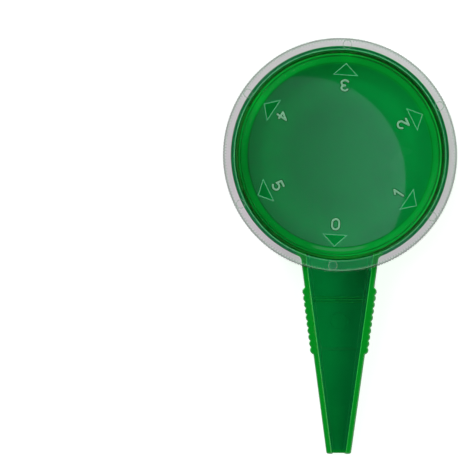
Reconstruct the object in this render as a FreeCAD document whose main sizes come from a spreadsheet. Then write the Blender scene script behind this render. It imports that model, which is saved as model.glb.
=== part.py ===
import FreeCAD, Part
import math
import os
import Sketcher

# Dial seed sower: a round seed dish that runs out into a tapered pouring chute, closed by a clear
# dial that turns on the dish. The sower lies on its back: the dial faces +Z and turns about the Z axis,
# the chute points along -Y, and the origin is on the flat underside, below the middle of the dish.
# Lengths are in millimetres and angles in degrees.

SIZES = {
    # Seed dish
    "rim_radius": 32.6,
    "rim_wall": 1.6,
    "dish_height": 14.0,
    "dish_floor": 1.6,
    "dish_corner": 0.6,
    "underside_round": 1.2,
    # Pouring chute, its lengths measured outwards from the dial's edge
    "chute_length": 54.4,
    "chute_taper": 7.9,
    "chute_tip_width": 7.0,
    "chute_tip_height": 5.2,
    "chute_level_run": 1.0,
    "chute_wall": 1.55,
    "chute_draft": 4.5,
    "chute_joint_round": 1.5,
    "tip_setback": 0.5,
    "tip_round": 0.7,
    # Steps, ridges and moulding mark on the chute's floor, from the dial's edge
    "first_step": 22.5,
    "second_step": 34.0,
    "step_drop": 0.3,
    "ridge_start": 7.3,
    "ridge_pitch": 0.75,
    "ridge_count": 3,
    "ridge_width": 0.35,
    "ridge_height": 0.25,
    "pin_mark_place": 14.6,
    "pin_mark_radius": 2.55,
    "pin_mark_depth": 0.15,
    # Finger grips on the outside of the chute, from the dial's edge
    "grip_start": 5.7,
    "grip_pitch": 1.94,
    "grip_count": 10,
    "grip_radius": 0.95,
    "grip_proud": 0.75,
    # Clear dial
    "flange_overhang": 2.4,
    "flange_thickness": 1.6,
    "crown_height": 4.3,
    "crown_step": 0.25,
    "shoulder_radius": 3.4,
    "foot_radius": 0.5,
    "dial_wall": 1.4,
    "knurl_count": 240,
    "knurl_depth": 0.35,
    "dial_rest_turn": -3.6,
    # Fit of the dial in the dish
    "flange_gap": 0.1,
    "skirt_clearance": 0.15,
    "skirt_floor_gap": 0.3,
    "bead_below_rim": 3.5,
    "bead_proud": 0.35,
    "bead_clearance": 0.15,
    # Metering notches in the dial's skirt, one for each setting from 1 up
    "settings": 6,
    "first_notch": 1.8,
    "notch_step": 1.2,
    # Numbers, arrows and round marks on the dial
    "digit_gap": 1.2,
    "digit_height": 3.75,
    "digit_width": 2.6,
    "digit_stroke": 0.55,
    "relief": 0.3,
    "arrow_margin": 0.3,
    "arrow_length": 3.5,
    "arrow_width": 7.6,
    "arrow_line": 0.3,
    "mark_radius": 1.4,
    "mark_depth": 0.15,
}

doc = FreeCAD.newDocument("DialSeedSower")


def make_sheet():
    """Writes the driving sizes into a sheet, each under its own name."""
    sheet = doc.addObject("Spreadsheet::Sheet", "Sizes")
    for row, (name, value) in enumerate(SIZES.items(), start=1):
        sheet.set("A%d" % row, name)
        sheet.set("B%d" % row, str(value))
        sheet.setAlias("B%d" % row, name)
    doc.recompute()


class Size:
    """A size of the model: its value, and the expression that ties it to the sheet."""

    def __init__(self, value, text):
        self.value = value
        self.text = text

    def __add__(self, other):
        return joined(self, "+", other, self.value + as_size(other).value)

    def __sub__(self, other):
        return joined(self, "-", other, self.value - as_size(other).value)

    def __mul__(self, other):
        return joined(self, "*", other, self.value * as_size(other).value)

    def __truediv__(self, other):
        return joined(self, "/", other, self.value / as_size(other).value)

    def __neg__(self):
        return Size(-self.value, "(0 - %s)" % self.text)


def as_size(number):
    return number if isinstance(number, Size) else Size(number, repr(number))


def joined(left, sign, right, value):
    return Size(value, "(%s %s %s)" % (left.text, sign, as_size(right).text))


def size(name):
    """The size that the sheet holds under this name."""
    return Size(doc.Sizes.get(name), "Sizes.%s" % name)


def tangent(angle):
    return Size(math.tan(math.radians(angle.value)), "tan(%s)" % angle.text)


def sine(angle):
    return Size(math.sin(math.radians(angle.value)), "sin(%s)" % angle.text)


def arc_tangent(ratio):
    return Size(math.degrees(math.atan(ratio.value)), "atan(%s)" % ratio.text)


def bind(item, prop, value):
    """Ties one property of an object to the sheet."""
    item.setExpression(prop, as_size(value).text)


# Sketches and features

OVERCUT = 1.0  # how far a cut runs past the face that it opens
NEAR = 1e-4  # how close two lengths are when they count as the same


def new_body(label):
    body = doc.addObject("PartDesign::Body", label.title().replace("_", "") + "Body")
    body.Label = label
    return body


def origin_plane(body, role):
    return next(item for item in body.Origin.OriginFeatures if item.Role == role)


def new_sketch(body, name, role="XY_Plane", level=None, turn=None, turn_axis=(0, 0, 1)):
    """A sketch on one of the body's own planes, lifted by level and turned by turn."""
    sketch = body.newObject("Sketcher::SketchObject", name)
    sketch.AttachmentSupport = (origin_plane(body, role), [""])
    sketch.MapMode = "FlatFace"
    if turn is not None:
        turned = FreeCAD.Rotation(FreeCAD.Vector(*turn_axis), turn.value)
        sketch.AttachmentOffset = FreeCAD.Placement(FreeCAD.Vector(), turned)
        bind(sketch, "AttachmentOffset.Rotation.Angle", turn)
    if level is not None:
        bind(sketch, "AttachmentOffset.Base.z", level)
    return sketch


def constrain(sketch, kind, *places, value):
    """Adds a constraint with a value, and ties the value to the sheet."""
    value = as_size(value)
    index = sketch.addConstraint(Sketcher.Constraint(kind, *places, value.value))
    sketch.setExpression("Constraints[%d]" % index, value.text)


def place_point(sketch, edge, end, x, y):
    """Ties a point of a sketch to its distances from the sketch's origin."""
    for kind, axis, distance in (("DistanceX", -2, x), ("DistanceY", -1, y)):
        if isinstance(distance, Size):
            constrain(sketch, kind, -1, 1, edge, end, value=distance)
        else:
            sketch.addConstraint(Sketcher.Constraint("PointOnObject", edge, end, axis))


def flat(point):
    return FreeCAD.Vector(as_size(point[0]).value, as_size(point[1]).value, 0)


def draw_outline(sketch, corners, arcs=None):
    """Draws a closed outline. arcs gives the centre and radius of an arc by the corner it starts at."""
    arcs = arcs or {}
    ends = []
    for index, corner in enumerate(corners):
        start = flat(corner)
        stop = flat(corners[(index + 1) % len(corners)])
        if index in arcs:
            centre = flat(arcs[index][0])
            radius = arcs[index][1].value
            outward = (start + stop) * 0.5 - centre
            middle = centre + outward.normalize() * radius
            edge = sketch.addGeometry(Part.Arc(start, middle, stop))
            swapped = sketch.getPoint(edge, 1).distanceToPoint(start) > NEAR
            ends.append((edge, 2, 1) if swapped else (edge, 1, 2))
        else:
            edge = sketch.addGeometry(Part.LineSegment(start, stop))
            ends.append((edge, 1, 2))
    for index, (edge, first, _) in enumerate(ends):
        before, _, last = ends[index - 1]
        sketch.addConstraint(Sketcher.Constraint("Coincident", before, last, edge, first))
        place_point(sketch, edge, first, *corners[index])
    for index, (_, radius) in arcs.items():
        constrain(sketch, "Radius", ends[index][0], value=radius)


def draw_circle(sketch, x, y, radius):
    edge = sketch.addGeometry(Part.Circle(flat((x, y)), FreeCAD.Vector(0, 0, 1), radius.value))
    place_point(sketch, edge, 3, x, y)
    constrain(sketch, "Radius", edge, value=radius)


def add_pad(body, name, sketch, length):
    pad = body.newObject("PartDesign::Pad", name)
    pad.Profile = sketch
    bind(pad, "Length", length)
    body.Tip = pad
    doc.recompute()
    return pad


def add_pocket(body, name, sketch, length, reverse=False, taper=None):
    """Cuts a sketch out of the body, away from the sketch's own normal unless it is reversed."""
    before = body.Tip.Shape.Volume
    pocket = body.newObject("PartDesign::Pocket", name)
    pocket.Profile = sketch
    pocket.Reversed = reverse
    bind(pocket, "Length", length)
    if taper is not None:
        bind(pocket, "TaperAngle", taper)
    body.Tip = pocket
    doc.recompute()
    must_cut(pocket, before)
    return pocket


def add_turned(body, kind, name, sketch):
    """Turns a sketch about its vertical axis, as a Revolution or a Groove."""
    turned = body.newObject("PartDesign::" + kind, name)
    turned.Profile = sketch
    turned.ReferenceAxis = (sketch, ["V_Axis"])
    turned.Angle = 360
    body.Tip = turned
    doc.recompute()
    return turned


def add_polar(body, name, feature, axis_sketch, count):
    pattern = body.newObject("PartDesign::PolarPattern", name)
    pattern.Originals = [feature]
    pattern.Axis = (axis_sketch, ["N_Axis"])
    pattern.Angle = 360
    bind(pattern, "Occurrences", count)
    body.Tip = pattern
    doc.recompute()


def add_row(body, name, feature, sketch, pitch, count):
    """Repeats a feature down its sketch's upright axis."""
    pattern = body.newObject("PartDesign::LinearPattern", name)
    pattern.Originals = [feature]
    pattern.Direction = (sketch, ["V_Axis"])
    pattern.Reversed = True
    bind(pattern, "Length", pitch * (count - 1))
    bind(pattern, "Occurrences", count)
    body.Tip = pattern
    doc.recompute()


def add_fillet(body, name, radius, chosen):
    """Rounds the edges of the body for which chosen(edge) is true."""
    base = body.Tip
    edges = base.Shape.Edges
    names = ["Edge%d" % number for number, edge in enumerate(edges, start=1) if chosen(edge)]
    fillet = body.newObject("PartDesign::Fillet", name)
    fillet.Base = (base, names)
    bind(fillet, "Radius", radius)
    body.Tip = fillet
    doc.recompute()


def must_cut(feature, volume_before):
    if feature.Shape.Volume > volume_before - NEAR:
        raise RuntimeError("%s cuts nothing" % feature.Label)


def is_upright(edge):
    span = edge.Vertexes[-1].Point - edge.Vertexes[0].Point
    return math.hypot(span.x, span.y) < NEAR < abs(span.z)


# Sizes that both pieces share

def dish_inner_radius():
    return size("rim_radius") - size("rim_wall")


def dial_radius():
    return size("rim_radius") + size("flange_overhang")


def bead_level():
    return size("dish_height") - size("bead_below_rim")


def out_from_dial(name):
    """The distance from the dial's axis of a place that is measured from the dial's edge."""
    return dial_radius() + size(name)


def chute_reach():
    return out_from_dial("chute_length")


def level_end():
    """Where the chute's walls stop being level and start to fall towards the tip."""
    return out_from_dial("chute_level_run")


def chute_outer_half(distance):
    """Half the chute's outer width, this far from the dial's axis."""
    return size("chute_tip_width") / 2 + (chute_reach() - distance) * tangent(size("chute_taper"))


def chute_inner_half(distance, level):
    """Half the chute's inner width, at a distance from the dial's axis and a level above the underside."""
    lean = tangent(size("chute_draft"))
    height = size("dish_height")
    mouth_half = chute_outer_half(level_end()) - size("chute_wall")
    tip_half = size("chute_tip_width") / 2 - size("chute_wall") + (height - size("chute_tip_height")) * lean
    widening = (mouth_half - tip_half) / (chute_reach() - level_end())
    return tip_half + (chute_reach() - distance) * widening - (height - level) * lean


def across_trough(near, far, level):
    """The corners of the trough's outline at one level, from near to far along the chute."""
    near_half = chute_inner_half(near, level)
    far_half = chute_inner_half(far, level)
    return [(-near_half, -near), (near_half, -near), (far_half, -far), (-far_half, -far)]


# Sower body: dish and chute, one green moulding

def dish_and_chute_block(body):
    round_plan = new_sketch(body, "DishPlan")
    draw_circle(round_plan, 0, 0, size("rim_radius"))
    add_pad(body, "DishBlock", round_plan, size("dish_height"))
    chute_plan = new_sketch(body, "ChutePlan")
    start = size("rim_radius") / 2
    end = chute_reach()
    start_half = chute_outer_half(start)
    end_half = chute_outer_half(end)
    corners = [(-start_half, -start), (start_half, -start), (end_half, -end), (-end_half, -end)]
    draw_outline(chute_plan, corners)
    add_pad(body, "ChuteBlock", chute_plan, size("dish_height"))


def round_the_block(body):
    rim = size("rim_radius").value
    tip = -chute_reach().value

    def meets_dish(edge):
        point = edge.Vertexes[0].Point
        return is_upright(edge) and point.y < -NEAR and abs(math.hypot(point.x, point.y) - rim) < NEAR

    def at_tip(edge):
        return is_upright(edge) and abs(edge.Vertexes[0].Point.y - tip) < NEAR

    def on_underside(edge):
        return max(abs(edge.BoundBox.ZMax), abs(edge.BoundBox.ZMin)) < NEAR

    add_fillet(body, "JointRound", size("chute_joint_round"), meets_dish)
    add_fillet(body, "TipRound", size("tip_round"), at_tip)
    add_fillet(body, "UndersideRound", size("underside_round"), on_underside)


def finger_grips(body, side):
    """A row of upright half-round ribs on one outer side of the chute: side is 1 or -1."""
    name = "GripsRight" if side > 0 else "GripsLeft"
    start = out_from_dial("grip_start")
    inset = size("grip_radius") - size("grip_proud")
    sketch = new_sketch(body, name + "Plan", level=size("underside_round"), turn=size("chute_taper") * -side)
    bind(sketch, "AttachmentOffset.Base.x", (chute_outer_half(start) - inset) * side)
    bind(sketch, "AttachmentOffset.Base.y", -start)
    draw_circle(sketch, 0, 0, size("grip_radius"))
    rib = add_pad(body, name + "Rib", sketch, size("dish_height") - size("underside_round"))
    add_row(body, name, rib, sketch, size("grip_pitch"), size("grip_count"))


def sloping_top(body):
    sketch = new_sketch(body, "ChuteSide", "YZ_Plane")
    top = size("dish_height")
    low = size("chute_tip_height")
    past_tip = chute_reach() + OVERCUT
    corners = [
        (-level_end(), top),
        (-chute_reach(), low),
        (-past_tip, low),
        (-past_tip, top + OVERCUT),
        (-level_end(), top + OVERCUT),
    ]
    draw_outline(sketch, corners)
    slope = add_pocket(body, "ChuteSlope", sketch, size("rim_radius") * 2)
    slope.Midplane = True
    doc.recompute()


def dish_hollow(body):
    """The round seed chamber, with a groove in its wall for the dial's bead."""
    sketch = new_sketch(body, "DishHollowSection", "XZ_Plane")
    radius = dish_inner_radius()
    floor = size("dish_floor")
    corner = size("dish_corner")
    top = size("dish_height") + OVERCUT
    groove_reach = size("bead_proud") - size("skirt_clearance") + size("bead_clearance")
    groove_half = groove_reach + size("bead_clearance")
    level = bead_level()
    corners = [
        (0, floor),
        (radius - corner, floor),
        (radius, floor + corner),
        (radius, level - groove_half),
        (radius + groove_reach, level),
        (radius, level + groove_half),
        (radius, top),
        (0, top),
    ]
    arcs = {1: ((radius - corner, floor + corner), corner)}
    draw_outline(sketch, corners, arcs)
    before = body.Tip.Shape.Volume
    hollow = add_turned(body, "Groove", "DishHollow", sketch)
    must_cut(hollow, before)


def chute_hollow(body):
    """The trough between the chute's walls, open at the top, into the dish and at the tip."""
    top = size("dish_height")
    floor = size("dish_floor")
    past_tip = chute_reach() + OVERCUT
    inside_dish = size("rim_radius") / 2
    trough = new_sketch(body, "TroughPlan", level=top)
    draw_outline(trough, across_trough(inside_dish, past_tip + size("dish_height"), top))
    add_pocket(body, "Trough", trough, top - floor, taper=-size("chute_draft"))
    cuts = [
        ("FirstStep", out_from_dial("first_step"), size("step_drop")),
        ("SecondStep", out_from_dial("second_step"), size("step_drop") * 2),
        ("TipSetback", chute_reach() - size("tip_setback"), floor),
    ]
    for name, start, depth in cuts:
        sketch = new_sketch(body, name + "Plan", level=floor)
        draw_outline(sketch, across_trough(start, past_tip, floor))
        add_pocket(body, name, sketch, depth)


def chute_floor_details(body):
    """Fine cross ridges that let the seeds fall apart, and the round mark of an ejector pin."""
    floor = size("dish_floor")
    near = out_from_dial("ridge_start")
    in_the_walls = floor + size("chute_wall")
    ridge_plan = new_sketch(body, "RidgePlan", level=floor)
    draw_outline(ridge_plan, across_trough(near, near + size("ridge_width"), in_the_walls))
    ridge = add_pad(body, "Ridge", ridge_plan, size("ridge_height"))
    add_row(body, "Ridges", ridge, ridge_plan, size("ridge_pitch"), size("ridge_count"))
    mark = new_sketch(body, "PinMarkPlan", level=floor)
    draw_circle(mark, 0, -out_from_dial("pin_mark_place"), size("pin_mark_radius"))
    add_pocket(body, "PinMark", mark, size("pin_mark_depth"))


def make_sower_body():
    body = new_body("sower_body")
    dish_and_chute_block(body)
    round_the_block(body)
    for side in (1, -1):
        finger_grips(body, side)
    sloping_top(body)
    dish_hollow(body)
    chute_hollow(body)
    chute_floor_details(body)
    return body


# Dial: crown, knurled flange and metering skirt, one clear moulding

def skirt_outer_radius():
    return dish_inner_radius() - size("skirt_clearance")


def crown_radius():
    return skirt_outer_radius() + size("crown_step")


def skirt_inner_radius():
    return crown_radius() - size("dial_wall")


def flange_underside():
    return size("dish_height") + size("flange_gap")


def crown_top():
    return flange_underside() + size("flange_thickness") + size("crown_height")


def skirt_bottom():
    return size("dish_floor") + size("skirt_floor_gap")


def flat_radius():
    """The radius of the crown's flat top."""
    return crown_radius() - size("shoulder_radius")


def arrow_tip():
    return flat_radius() - size("arrow_margin")


def digit_radius():
    """The distance from the dial's axis to the middle of each number."""
    return arrow_tip() - size("arrow_length") - size("digit_gap") - size("digit_height") / 2


def dial_shell(body):
    sketch = new_sketch(body, "DialSection", "XZ_Plane")
    top = crown_top()
    shoulder = size("shoulder_radius")
    inner_shoulder = shoulder - size("dial_wall")
    foot = size("foot_radius")
    low = flange_underside()
    high = low + size("flange_thickness")
    skirt = skirt_outer_radius()
    bead = bead_level()
    proud = size("bead_proud")
    corners = [
        (0, top),
        (flat_radius(), top),
        (crown_radius(), top - shoulder),
        (crown_radius(), high + foot),
        (crown_radius() + foot, high),
        (dial_radius(), high),
        (dial_radius(), low),
        (skirt, low),
        (skirt, bead + proud),
        (skirt + proud, bead),
        (skirt, bead - proud),
        (skirt, skirt_bottom() + size("dish_corner")),
        (skirt - size("dish_corner"), skirt_bottom()),
        (skirt_inner_radius(), skirt_bottom()),
        (skirt_inner_radius(), top - shoulder),
        (flat_radius(), top - size("dial_wall")),
        (0, top - size("dial_wall")),
    ]
    centre = (flat_radius(), top - shoulder)
    arcs = {
        1: (centre, shoulder),
        3: ((crown_radius() + foot, high + foot), foot),
        14: (centre, inner_shoulder),
    }
    draw_outline(sketch, corners, arcs)
    add_turned(body, "Revolution", "DialShell", sketch)


def knurled_edge(body):
    """Fine V grooves all round the flange, one sketched and turned about the axis."""
    count = size("knurl_count")
    radius = dial_radius()
    outside = radius + size("knurl_depth")
    half_groove = radius * tangent(as_size(180) / count)
    sketch = new_sketch(body, "KnurlPlan", level=flange_underside() + size("flange_thickness") + OVERCUT)
    corners = [
        (radius - size("knurl_depth"), 0),
        (outside, half_groove),
        (outside, -half_groove),
    ]
    draw_outline(sketch, corners)
    depth = size("flange_thickness") + OVERCUT * 2
    groove = add_pocket(body, "KnurlGroove", sketch, depth)
    add_polar(body, "Knurl", groove, sketch, count)


def metering_notch(body, setting):
    """One arched opening in the skirt, below its number: the higher the setting, the larger it is."""
    half = (size("first_notch") + size("notch_step") * (setting - 1)) / 2
    turn = as_size(360) / size("settings") * setting
    sketch = new_sketch(body, "Notch%dOutline" % setting, "XZ_Plane", turn=turn, turn_axis=(0, 1, 0))
    low = size("dish_floor")
    spring = skirt_bottom() + half
    corners = [(half, low), (half, spring), (0, spring + half), (-half, spring), (-half, low)]
    centre = (0, spring)
    draw_outline(sketch, corners, {1: (centre, half), 2: (centre, half)})
    add_pocket(body, "Notch%d" % setting, sketch, size("rim_radius"), reverse=True)


def flange_marks(body):
    """Shallow round marks in the middle of the flange's width, one beside each arrow."""
    sketch = new_sketch(body, "MarkPlan", level=flange_underside() + size("flange_thickness"))
    inner = crown_radius() + size("foot_radius")
    outer = dial_radius() - size("knurl_depth")
    draw_circle(sketch, 0, -(inner + outer) / 2, size("mark_radius"))
    mark = add_pocket(body, "RoundMark", sketch, size("mark_depth"))
    add_polar(body, "RoundMarks", mark, sketch, size("settings"))


def arrows(body):
    """Raised outlines of arrowheads that point outwards, one at each number."""
    sketch = new_sketch(body, "ArrowPlan", level=crown_top())
    tip = arrow_tip()
    base = tip - size("arrow_length")
    spread = size("arrow_width") / 2 / size("arrow_length")
    half_angle = arc_tangent(spread)
    line = size("arrow_line")
    inner_tip = tip - line / sine(half_angle)
    inner_base = base + line
    inner_half = (inner_tip - inner_base) * spread
    draw_outline(sketch, [(0, -tip), (size("arrow_width") / 2, -base), (-size("arrow_width") / 2, -base)])
    draw_outline(sketch, [(0, -inner_tip), (inner_half, -inner_base), (-inner_half, -inner_base)])
    arrow = add_pad(body, "Arrow", sketch, size("relief"))
    add_polar(body, "Arrows", arrow, sketch, size("settings"))


def line_to(*points):
    """Straight strokes from point to point."""
    vectors = [FreeCAD.Vector(x, y, 0) for x, y in points]
    return [Part.LineSegment(start, stop).toShape() for start, stop in zip(vectors, vectors[1:])]


def arc_by(start, middle, stop):
    """An arc stroke from start to stop by way of middle."""
    vectors = [FreeCAD.Vector(x, y, 0) for x, y in (start, middle, stop)]
    return [Part.Arc(*vectors).toShape()]


def digit_strokes(digit, a, b):
    """The pen strokes of a digit that is 2a wide and 2b high, as lists of edges."""
    bowl = b - a
    slant = a * math.sqrt(0.5)
    strokes = {
        0: [
            arc_by((a, bowl), (0, b), (-a, bowl)) + line_to((-a, bowl), (-a, -bowl)),
            arc_by((-a, -bowl), (0, -b), (a, -bowl)) + line_to((a, -bowl), (a, bowl)),
        ],
        1: [line_to((-a / 2, b - a * 0.7), (a / 4, b), (a / 4, -b))],
        2: [
            arc_by((-a, bowl), (0, b), (a, bowl)) + line_to((a, bowl), (-a, -b), (a, -b)),
        ],
        3: [
            arc_by((-slant, b - a + slant), (a * 0.95, b - a), (0, 0)),
            arc_by((0, 0), (a, -b + a), (-slant, -b + a - slant)),
        ],
        4: [
            line_to((-a, -b / 3), (a / 3, b), (a / 3, -b)),
            line_to((a / 3, b), (-a, -b / 3), (a, -b / 3)),
        ],
        5: [
            line_to((a * 0.8, b), (-a * 0.7, b), (-a * 0.8, b / 8))
            + arc_by((-a * 0.8, b / 8), (a, -b * 0.4), (-a, -b * 0.8)),
        ],
    }
    return strokes[digit]


def make_digit(digit):
    """A raised number, drawn with a pen of one width. Its foot points away from the dial's middle."""
    stroke = size("digit_stroke").value
    half_width = (size("digit_width").value - stroke) / 2
    half_height = (size("digit_height").value - stroke) / 2
    relief = size("relief").value
    sunk = relief
    solids = []
    for edges in digit_strokes(digit, half_width, half_height):
        face = Part.Wire(edges).makeOffset2D(stroke / 2, 0, True, False, False)
        solids.append(face.extrude(FreeCAD.Vector(0, 0, relief + sunk)))
    number = doc.addObject("Part::Feature", "Number%d" % digit)
    number.Shape = solids[0].fuse(solids[1:]).removeSplitter() if len(solids) > 1 else solids[0]
    turn = 360 / size("settings").value * digit
    around = FreeCAD.Placement(FreeCAD.Vector(), FreeCAD.Rotation(FreeCAD.Vector(0, 0, 1), turn))
    lift = FreeCAD.Vector(0, -digit_radius().value, crown_top().value - sunk)
    number.Placement = around * FreeCAD.Placement(lift, FreeCAD.Rotation())
    return number


def make_dial():
    body = new_body("dial_moulding")
    settings = int(size("settings").value)
    dial_shell(body)
    for setting in range(1, settings):
        metering_notch(body, setting)
    flange_marks(body)
    arrows(body)
    knurled_edge(body)
    dial = doc.addObject("Part::MultiFuse", "Dial")
    dial.Label = "dial"
    dial.Shapes = [body] + [make_digit(digit) for digit in range(settings)]
    dial.Placement.Rotation = FreeCAD.Rotation(FreeCAD.Vector(0, 0, 1), size("dial_rest_turn").value)
    bind(dial, "Placement.Rotation.Angle", size("dial_rest_turn"))
    doc.recompute()
    return dial


def check_document():
    """Stops if anything in the document failed to build."""
    for item in doc.Objects:
        if "Invalid" in item.State or "Error" in item.State:
            raise RuntimeError("%s is %s" % (item.Label, item.State))


def write_parts(parts):
    for part in parts:
        shape = part.Shape
        if shape.isNull() or not shape.isValid() or len(shape.Solids) != 1:
            raise RuntimeError("%s is not one valid solid" % part.Label)
    os.makedirs("parts", exist_ok=True)
    for part in parts:
        part.Shape.exportStep("parts/%s.step" % part.Label)


make_sheet()
pieces = [make_sower_body(), make_dial()]
doc.recompute()
check_document()
write_parts(pieces)
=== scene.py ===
import math

import bmesh
import bpy
from bpy.props import FloatProperty, FloatVectorProperty, IntProperty, PointerProperty
from mathutils import Matrix, Vector
from mathutils.geometry import tessellate_polygon


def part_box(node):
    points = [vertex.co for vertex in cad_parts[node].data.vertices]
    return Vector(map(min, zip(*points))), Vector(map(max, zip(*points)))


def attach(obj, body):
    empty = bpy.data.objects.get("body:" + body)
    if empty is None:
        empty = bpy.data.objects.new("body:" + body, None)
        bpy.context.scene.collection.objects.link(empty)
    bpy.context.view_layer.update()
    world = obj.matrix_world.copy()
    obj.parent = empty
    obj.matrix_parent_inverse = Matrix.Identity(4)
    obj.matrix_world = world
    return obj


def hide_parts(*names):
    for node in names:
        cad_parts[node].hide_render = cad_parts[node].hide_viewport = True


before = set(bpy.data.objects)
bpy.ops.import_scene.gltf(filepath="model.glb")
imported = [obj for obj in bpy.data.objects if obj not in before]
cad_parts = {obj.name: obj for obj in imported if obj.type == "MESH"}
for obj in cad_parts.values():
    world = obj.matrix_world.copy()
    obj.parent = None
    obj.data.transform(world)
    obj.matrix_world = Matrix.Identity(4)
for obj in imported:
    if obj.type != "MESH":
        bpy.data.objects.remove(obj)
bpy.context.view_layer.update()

bl_info = {
    "name": "Dial Seed Sower",
    "version": (1, 0, 0),
    "blender": (4, 5, 0),
    "location": "View3D > Sidebar > Seed Sower",
    "description": "Builds a hand seed sower: a green dish with a pouring chute, and a clear numbered dial",
    "category": "Add Mesh",
}

# The sower lies on its back: the dial faces +Z and turns about the Z axis, and the chute points along -Y.
# Lengths are in metres. "Distance" along the chute is measured from the dial's axis.

MM = 0.001
BODY_LOW, BODY_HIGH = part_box("sower_body")
DIAL_LOW, DIAL_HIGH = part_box("dial")

# Corners nearer than this are one corner, and faces that fold by more than this meet in a sharp edge
WELD = 1e-7
SHARP_ANGLE = math.radians(35)

# How finely rounds, arcs and circles are divided
ROUND_STEPS = 4
EDGE_STEPS = 3
CORNER_STEPS = 4
TIP_STEPS = 4
JOINT_STEPS = 8
DISH_STEPS = 96
GRIP_SAMPLES = 9
PIN_STEPS = 64
SHOULDER_STEPS = 18
INNER_SHOULDER_STEPS = 14
FOOT_STEPS = 6
FLANGE_STEPS = 3
SNAP_STEPS = 8
NOTCH_STEPS = 24
MARK_STEPS = 48
FOOT_LINE_STEPS = 240
SECTION_STEPS = 8
CAP_STEPS = 4
CURVE_STEPS = 14

# Shares at which flat faces are divided, so that no face gets long and thin
FLOOR_SHARES = (1.0, 0.6, 0.2)
DISH_RINGS = (0.75, 0.5, 0.25)
CROWN_RINGS = (0.99, 0.5)

# Extra rows along the chute, and the least distance between two rows
SPARE_ROWS = (63 * MM, 75 * MM, 82 * MM)
CLOSEST_ROWS = 0.02 * MM

# Floor kept round the pin mark, in radii of the mark, and wall kept between the rounds at the tip
PIN_MARGIN = 1.25
WALL_END_LEFT = 0.25 * MM

# The knurl's corners, as shares of its pitch: the groove, and both ends of the crest
TOOTH_PLACES = (0.0, 0.25, 0.75)

# How far the cutters run past the plastic, and where the notches' cutters start and end beside the skirt
CUT_PAST = 1 * MM
NOTCH_CUT = (-5 * MM, 2 * MM)

# Raised lines: how deep they sit in the plastic, and how each next stroke of a number differs
LINE_SUNK_MM = 0.05
NEXT_SUNK_MM = 0.01
NEXT_FOOT = 0.1

# The sharpest mitre, and the gap between the ends of a line that counts as closed
MITRE_LIMIT = 0.4
LOOP_GAP = WELD * 10


def length(name, description, value):
    return FloatProperty(
        name=name, description=description, default=value, min=0.0, unit="LENGTH", precision=5
    )


def angle(name, description, degrees):
    return FloatProperty(name=name, description=description, default=math.radians(degrees), subtype="ANGLE")


def power(name, description, value):
    return FloatProperty(name=name, description=description, default=value, unit="POWER")


def count(name, description, value):
    return IntProperty(name=name, description=description, default=value, min=1)


def colour(name, description, value):
    return FloatVectorProperty(
        name=name, description=description, default=value, min=0.0, max=1.0, subtype="COLOR", size=3
    )


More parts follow.
